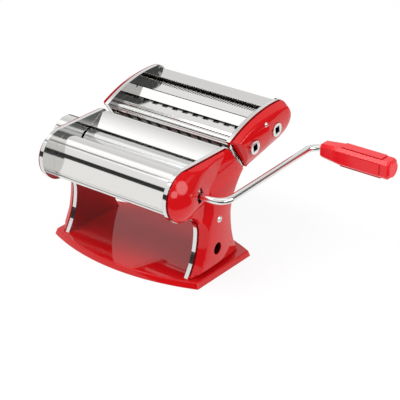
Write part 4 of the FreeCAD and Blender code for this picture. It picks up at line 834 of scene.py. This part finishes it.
side_screws = dressed("side_screws", chrome, edge=0.3 * mm)
cross_recess(
    side_screws, "side_screws", y=-4.0 * mm, z=61.5 * mm, width=3.6 * mm, depth=1.2 * mm
)
for node in ("base_screws", "gear_bracket", "cutter_pins"):
    dressed(node, machined, edge=0.2 * mm)
dressed("plate_bushes", bronze, edge=0.2 * mm)

# Smooth rollers: solid steel in front, a tube behind, centreless ground and nickel plated.
# The gears on their right ends keep them in step.


def ground_steel(name, colour, rough):
    """Ground and plated steel, with faint rings round the roller."""
    finish = new_finish(name, Metallic=1.0)
    rings = noise(finish, (1800, 4, 4), 2.0)
    haze = noise(finish, (25, 60, 60), 4.0)
    bright = tuple(min(1.0, 1.08 * c) for c in colour)
    feed(
        finish,
        Base_Color=colours(finish, haze, colour, bright),
        Roughness=rough + 0.06 * rings + 0.05 * haze,
        Normal=bump(finish, rings, 0.03, 0.2 * mm),
    )
    return finish.material


roller_steel = ground_steel("roller_steel", (0.76, 0.76, 0.75), 0.09)
for node in ("front_roller", "rear_roller"):
    dressed(node, roller_steel, edge=0.5 * mm)
for node in ("front_roller_gear", "rear_roller_gear"):
    dressed(node, machined, edge=0.2 * mm)
dressed("rear_roller_bushes", bronze, edge=0.2 * mm)

# Crank: a round steel rod bent cold in two places and chromed. Its inner end keys into the front
# roller and its outer end carries the grip.

rod_chrome = chrome_plate("rod_chrome", (0.90, 0.90, 0.89), 0.15)
dressed("crank_rod", rod_chrome, edge=0.5 * mm, flat_angle=0.02, smooth_angle=40.0)

# Grip: a gloss plastic handle, moulded in one shot with a ribbed pad on each of its four sides. It
# turns on the end of the rod, behind a snapped-in end cap.


def moulded_plastic(name, low, high, rough):
    """Gloss moulded plastic, a little cloudy, with the fine grain of the tool."""
    finish = new_finish(name, IOR=1.5)
    cloud = noise(finish, (60, 60, 60), 3.0)
    grain = noise(finish, (1500, 1500, 1500), 2.0)
    feed(
        finish,
        Base_Color=colours(finish, cloud, low, high),
        Roughness=rough + 0.1 * cloud,
        Normal=bump(finish, grain, 0.04, 0.2 * mm),
    )
    return finish.material


grip_plastic = moulded_plastic("grip_plastic", (0.68, 0.008, 0.014), (0.76, 0.012, 0.020), 0.08)
grip_low, grip_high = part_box("crank_grip")
grip_middle = (grip_low + grip_high) / 2
grip_start, grip_end = grip_low.x - 2.0 * mm, grip_high.x
grip_flat, grip_corner = 9.8 * mm, 3.4 * mm
pad_start, pad_end = grip_low.x + 22 * mm, grip_end - 9 * mm
pad_face, pad_width, pad_root = 10.9 * mm, 12.4 * mm, 4.0 * mm
rib_count, rib_height = 21, 0.45 * mm
collar_length, chamfer_length = 1.5 * mm, 1.2 * mm
mouth_share, collar_share, chamfer_share = 0.70, 0.78, 0.93


def grip_body(name):
    """An eight-sided handle, thinner towards the rod."""
    deselect()
    bpy.ops.mesh.primitive_plane_add(
        size=2 * grip_flat, location=(grip_start, *grip_middle.yz), rotation=(0, math.pi / 2, 0)
    )
    piece = bpy.context.object
    piece.name = name
    bpy.ops.object.transform_apply(location=True, rotation=True, scale=True)
    bpy.ops.object.mode_set(mode="EDIT")
    bpy.ops.mesh.select_all(action="SELECT")
    bpy.ops.mesh.bevel(offset=grip_corner, affect="VERTICES")
    middle = (grip_start, *grip_middle.yz)
    bpy.ops.transform.resize(value=(1, mouth_share, mouth_share), center_override=middle)
    for length, swell in (
        (collar_length, collar_share / mouth_share),
        (pad_start - grip_start - collar_length, 1 / collar_share),
        (grip_end - pad_start - chamfer_length, 1.0),
        (chamfer_length, chamfer_share),
    ):
        bpy.ops.mesh.extrude_region_move(TRANSFORM_OT_translate={"value": (length, 0, 0)})
        bpy.ops.transform.resize(value=(1, swell, swell), center_override=middle)
    bpy.ops.mesh.select_all(action="SELECT")
    bpy.ops.mesh.normals_make_consistent(inside=False)
    bpy.ops.object.mode_set(mode="OBJECT")
    return piece


def ribbed_pad(turn):
    """A raised pad on one side of the handle, with fine ribs across it."""
    deselect()
    bpy.ops.mesh.primitive_grid_add(x_subdivisions=2 * rib_count + 1, y_subdivisions=1, size=1.0)
    pad = bpy.context.object
    pad.scale = (pad_end - pad_start, pad_width, 1.0)
    bpy.ops.object.transform_apply(location=False, rotation=False, scale=True)
    order = sorted(pad.data.polygons, key=lambda face: face.center.x)
    for i, face in enumerate(order):
        face.select = i % 2 == 0
    bpy.ops.object.mode_set(mode="EDIT")
    bpy.ops.mesh.select_mode(type="FACE")
    bpy.ops.mesh.extrude_region_move(TRANSFORM_OT_translate={"value": (0, 0, rib_height)})
    bpy.ops.mesh.select_mode(type="EDGE")
    bpy.ops.mesh.select_all(action="DESELECT")
    bpy.ops.mesh.select_non_manifold(extend=False, use_multi_face=False, use_verts=False)
    bpy.ops.mesh.extrude_region_move(TRANSFORM_OT_translate={"value": (0, 0, -pad_root)})
    bpy.ops.mesh.edge_face_add()
    bpy.ops.mesh.select_all(action="SELECT")
    bpy.ops.mesh.normals_make_consistent(inside=False)
    bpy.ops.object.mode_set(mode="OBJECT")
    middle = Vector(((pad_start + pad_end) / 2, *grip_middle.yz))
    place = Matrix.Translation(middle) @ Matrix.Rotation(turn, 4, "X")
    pad.data.transform(place @ Matrix.Translation((0, 0, pad_face - rib_height)))
    return pad


grip = grip_body("crank_grip_skin")
pads = [ribbed_pad(quarter * math.pi / 2) for quarter in range(4)]
pierced(grip, pads, "UNION")
rounded(grip, 0.25 * mm, 2, 30)
smooth(grip, 30.0)
finished(grip, "crank_grip", grip_plastic)
cap = dressed("grip_end_cap", grip_plastic, edge=0.6 * mm, segments=3)
cap_share = 1.08
cap_middle = Matrix.Translation((0, *grip_middle.yz))
cap_swell = Matrix.Diagonal((1.0, cap_share, cap_share, 1.0))
cap.data.transform(cap_middle @ cap_swell @ cap_middle.inverted())

# Thickness setting: a chromed knob on the left with a plastic cap, the plate with its click holes,
# and the shaft that moves the rear roller. The knob pulls out against a coil spring between the
# shaft's nut and the knob's hub.

for node in ("thickness_knob", "index_plate"):
    dressed(node, chrome, edge=0.4 * mm)
dressed("knob_cap", grip_plastic, edge=0.4 * mm)
for node in ("thickness_shaft", "knob_pin", "knob_nut"):
    for material_slot in nodes[node].material_slots:
        material_slot.material = machined
spring = merged_copy("knob_spring", 0)
smooth(spring, 60.0)
coated(spring, machined)
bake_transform(spring)
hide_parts("knob_spring")

# Cutter head, sides: plates and covers pressed and finished like those of the frame. A screw on
# each side holds a cover to its plate.

# Painted shade: inside the cutter head the plates' inner faces are painted dark grey, standing in for
# the shade between them.
cutter_chrome = plate_chrome("cutter_chrome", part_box("cutter_right_plate")[0].x, (0.40, 0.40, 0.39))
for side in ("left", "right"):
    dressed(f"cutter_{side}_plate", cutter_chrome, edge=0, flat_angle=0)
cutter_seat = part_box("cutter_right_cover")[0].x


def heading(start, end):
    """The unit direction from one point to another."""
    return (end - start) / np.linalg.norm(end - start)


def drawn_corner(corner, arriving, leaving, inset):
    """Where a corner of an outline moves to when both of its edges are drawn in."""
    both = arriving + leaving
    return corner + inset * np.array((-both[1], both[0])) / (1 + arriving @ leaving)


def cutter_outline(inset):
    """The cutter plates' outline in Y and Z, drawn in by inset."""
    front, low = np.array((25.5, 131.6)) * mm, np.array((50.5, 95.5)) * mm
    end_centre, end_radius = np.array((103.0, 129.2)) * mm, 22.9 * mm
    end_low, end_high = math.radians(-67), math.radians(68)
    top_radius = 161.0 * mm
    low_way = np.array((math.cos(end_low), math.sin(end_low)))
    high_way = np.array((math.cos(end_high), math.sin(end_high)))
    slope = heading(front, low)
    floor_way = heading(low, end_centre + end_radius * low_way)
    top_start = end_centre + end_radius * high_way
    lean = math.asin(np.linalg.norm(front - top_start) / (2 * top_radius))
    chord = heading(top_start, front)
    top_way = np.array(
        (
            chord[0] * math.cos(lean) - chord[1] * math.sin(lean),
            chord[0] * math.sin(lean) + chord[1] * math.cos(lean),
        )
    )
    return traced(
        [
            tuple(drawn_corner(front, top_way, slope, inset)),
            tuple(drawn_corner(low, slope, floor_way, inset)),
            (*(end_centre + (end_radius - inset) * low_way), end_radius - inset),
            (*(end_centre + (end_radius - inset) * high_way), top_radius - inset),
        ],
        0.5 * cover_cell,
    )


def cutter_surface(places, inside):
    """A cutter cover: one long dome whose crest runs just above the sockets."""
    crest = np.array(((38.0, 123.5), (78.0, 132.0), (109.0, 138.5))) * mm
    gap, height, share = along_line(places, crest, np.array((9.5, 11.8, 11.0)) * mm)
    dome = domed(gap, height, (41 - 10 * share) * mm)
    return cutter_seat + under_wall(higher(dome, cover_lip, 1.0 * mm), inside)


cutter_right = pressed_cover(
    "cutter_right_cover_skin",
    cutter_outline(cover_inset),
    cutter_surface,
    cutter_seat,
    cover_cell,
    cover_groove,
    cover_wall,
)
cutter_left = mirrored(cutter_right, "cutter_left_cover_skin")
socket_places = []
for pair in ("wide", "fine"):
    low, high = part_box(f"{pair}_crank_socket")
    socket_places.append((low + high) / 2)
socket_hole_radius = 7.7 * mm
pierced(
    cutter_right,
    [round_cutter(place, socket_hole_radius, drill_length) for place in socket_places],
)
for side, cover in (("right", cutter_right), ("left", cutter_left)):
    smooth(cover, 40.0)
    finished(cover, f"cutter_{side}_cover", red_paint)

# Cutter head, sheets: a rear cover, a front tray with a notched edge and a cover between the two
# cutters, bent from the same stainless sheet. The middle one has a seam along its ridge, and its
# rear lip is slit into a comb.

dressed("cutter_rear_cover", satin, edge=0.15 * mm, flat_angle=0.05)
tray = dressed("cutter_front_tray", satin, edge=0.15 * mm, flat_angle=0.05, smooth_angle=20.0)
mid_cover = dressed("cutter_mid_cover", satin, edge=0, flat_angle=0.05, smooth_angle=20.0)
slit_count, slit_length, slit_share = 48, 5.2 * mm, 0.55
lip_depth, lip_thick, seam_width = 4.0 * mm, 0.94 * mm, 1.1 * mm
lip_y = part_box("cutter_mid_cover")[1].y
ridge = Vector((0, 74.6 * mm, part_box("cutter_mid_cover")[1].z))
comb_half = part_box("cutter_mid_cover")[1].x - 3.2 * mm
slit_pitch = 2 * comb_half / slit_count
whole_lip = block(
    (0, lip_y - 2.02 * mm, ridge.z - 0.9 * mm), (2 * comb_half + 5 * mm, lip_depth, lip_thick)
)
pierced(mid_cover, [whole_lip], "UNION")
slits = block(
    (slit_pitch / 2 - comb_half, lip_y - slit_length / 2, ridge.z),
    (slit_share * slit_pitch, slit_length + 2 * mm, 6 * mm),
)
bpy.ops.object.transform_apply(location=False, rotation=False, scale=True)
row = slits.modifiers.new("row", "ARRAY")
row.count = slit_count
row.use_relative_offset = False
row.use_constant_offset = True
row.constant_offset_displace = (slit_pitch, 0, 0)
apply_modifiers(slits)
seam = block(ridge, (4 * comb_half, seam_width, 4 * mm))
pierced(mid_cover, [slits, seam])
smooth(mid_cover, 20.0)

# Cutter head, fittings: plated tie rods and screws hold the plates together, and hooks hang the
# head on the frame's pins. A chromed rail lies along the tray's front edge, with a gap round it.

for node in ("cutter_tie_rods", "cutter_hooks"):
    dressed(node, chrome, edge=0.3 * mm)
cutter_screws = dressed("cutter_screws", chrome, edge=0.3 * mm)
cross_recess(
    cutter_screws, "cutter_screws", y=73.5 * mm, z=137.0 * mm, width=3.4 * mm, depth=1.2 * mm
)
rail = dressed("cutter_front_rail", rod_chrome, edge=0.3 * mm)
rail_low, rail_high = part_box("cutter_front_rail")
rail_axis = (rail_low + rail_high) / 2
rail_swell, rail_lift = 1.15, Vector((0, 0.2 * mm, -0.6 * mm))
swell = Matrix.Diagonal((1.0, rail_swell, rail_swell, 1.0))
rail.data.transform(
    Matrix.Translation(rail_axis + rail_lift) @ swell @ Matrix.Translation(-rail_axis)
)
rail_gap = 1.6 * mm
rail_radius = rail_swell * (rail_high.z - rail_low.z) / 2
tray_length = 200 * mm
pierced(tray, [round_cutter(rail_axis + rail_lift, rail_radius + rail_gap, tray_length)])
smooth(tray, 20.0)

# Cutter rollers: grooved steel shafts in pairs, one pair for wide strips and one for fine, turned
# by gears at their ends. The steel combs of each pair strip the grooves, and the crank fits the
# square sockets.

dressed("cutter_bushes", bronze, edge=0.2 * mm)
# Painted shade: the rollers and combs inside the cutter head are painted near-black, standing in for
# the shade there.
cutter_steel = ground_steel("cutter_steel", (0.11, 0.11, 0.105), 0.32)
for pair in ("wide", "fine"):
    dressed(f"{pair}_combs", cutter_steel, edge=0)
    dressed(f"{pair}_crank_socket", chrome, edge=0.4 * mm)
    for role in ("drive", "mate"):
        dressed(f"{pair}_{role}_roller", cutter_steel, edge=0)
        dressed(f"{pair}_{role}_gear", machined, edge=0.2 * mm)
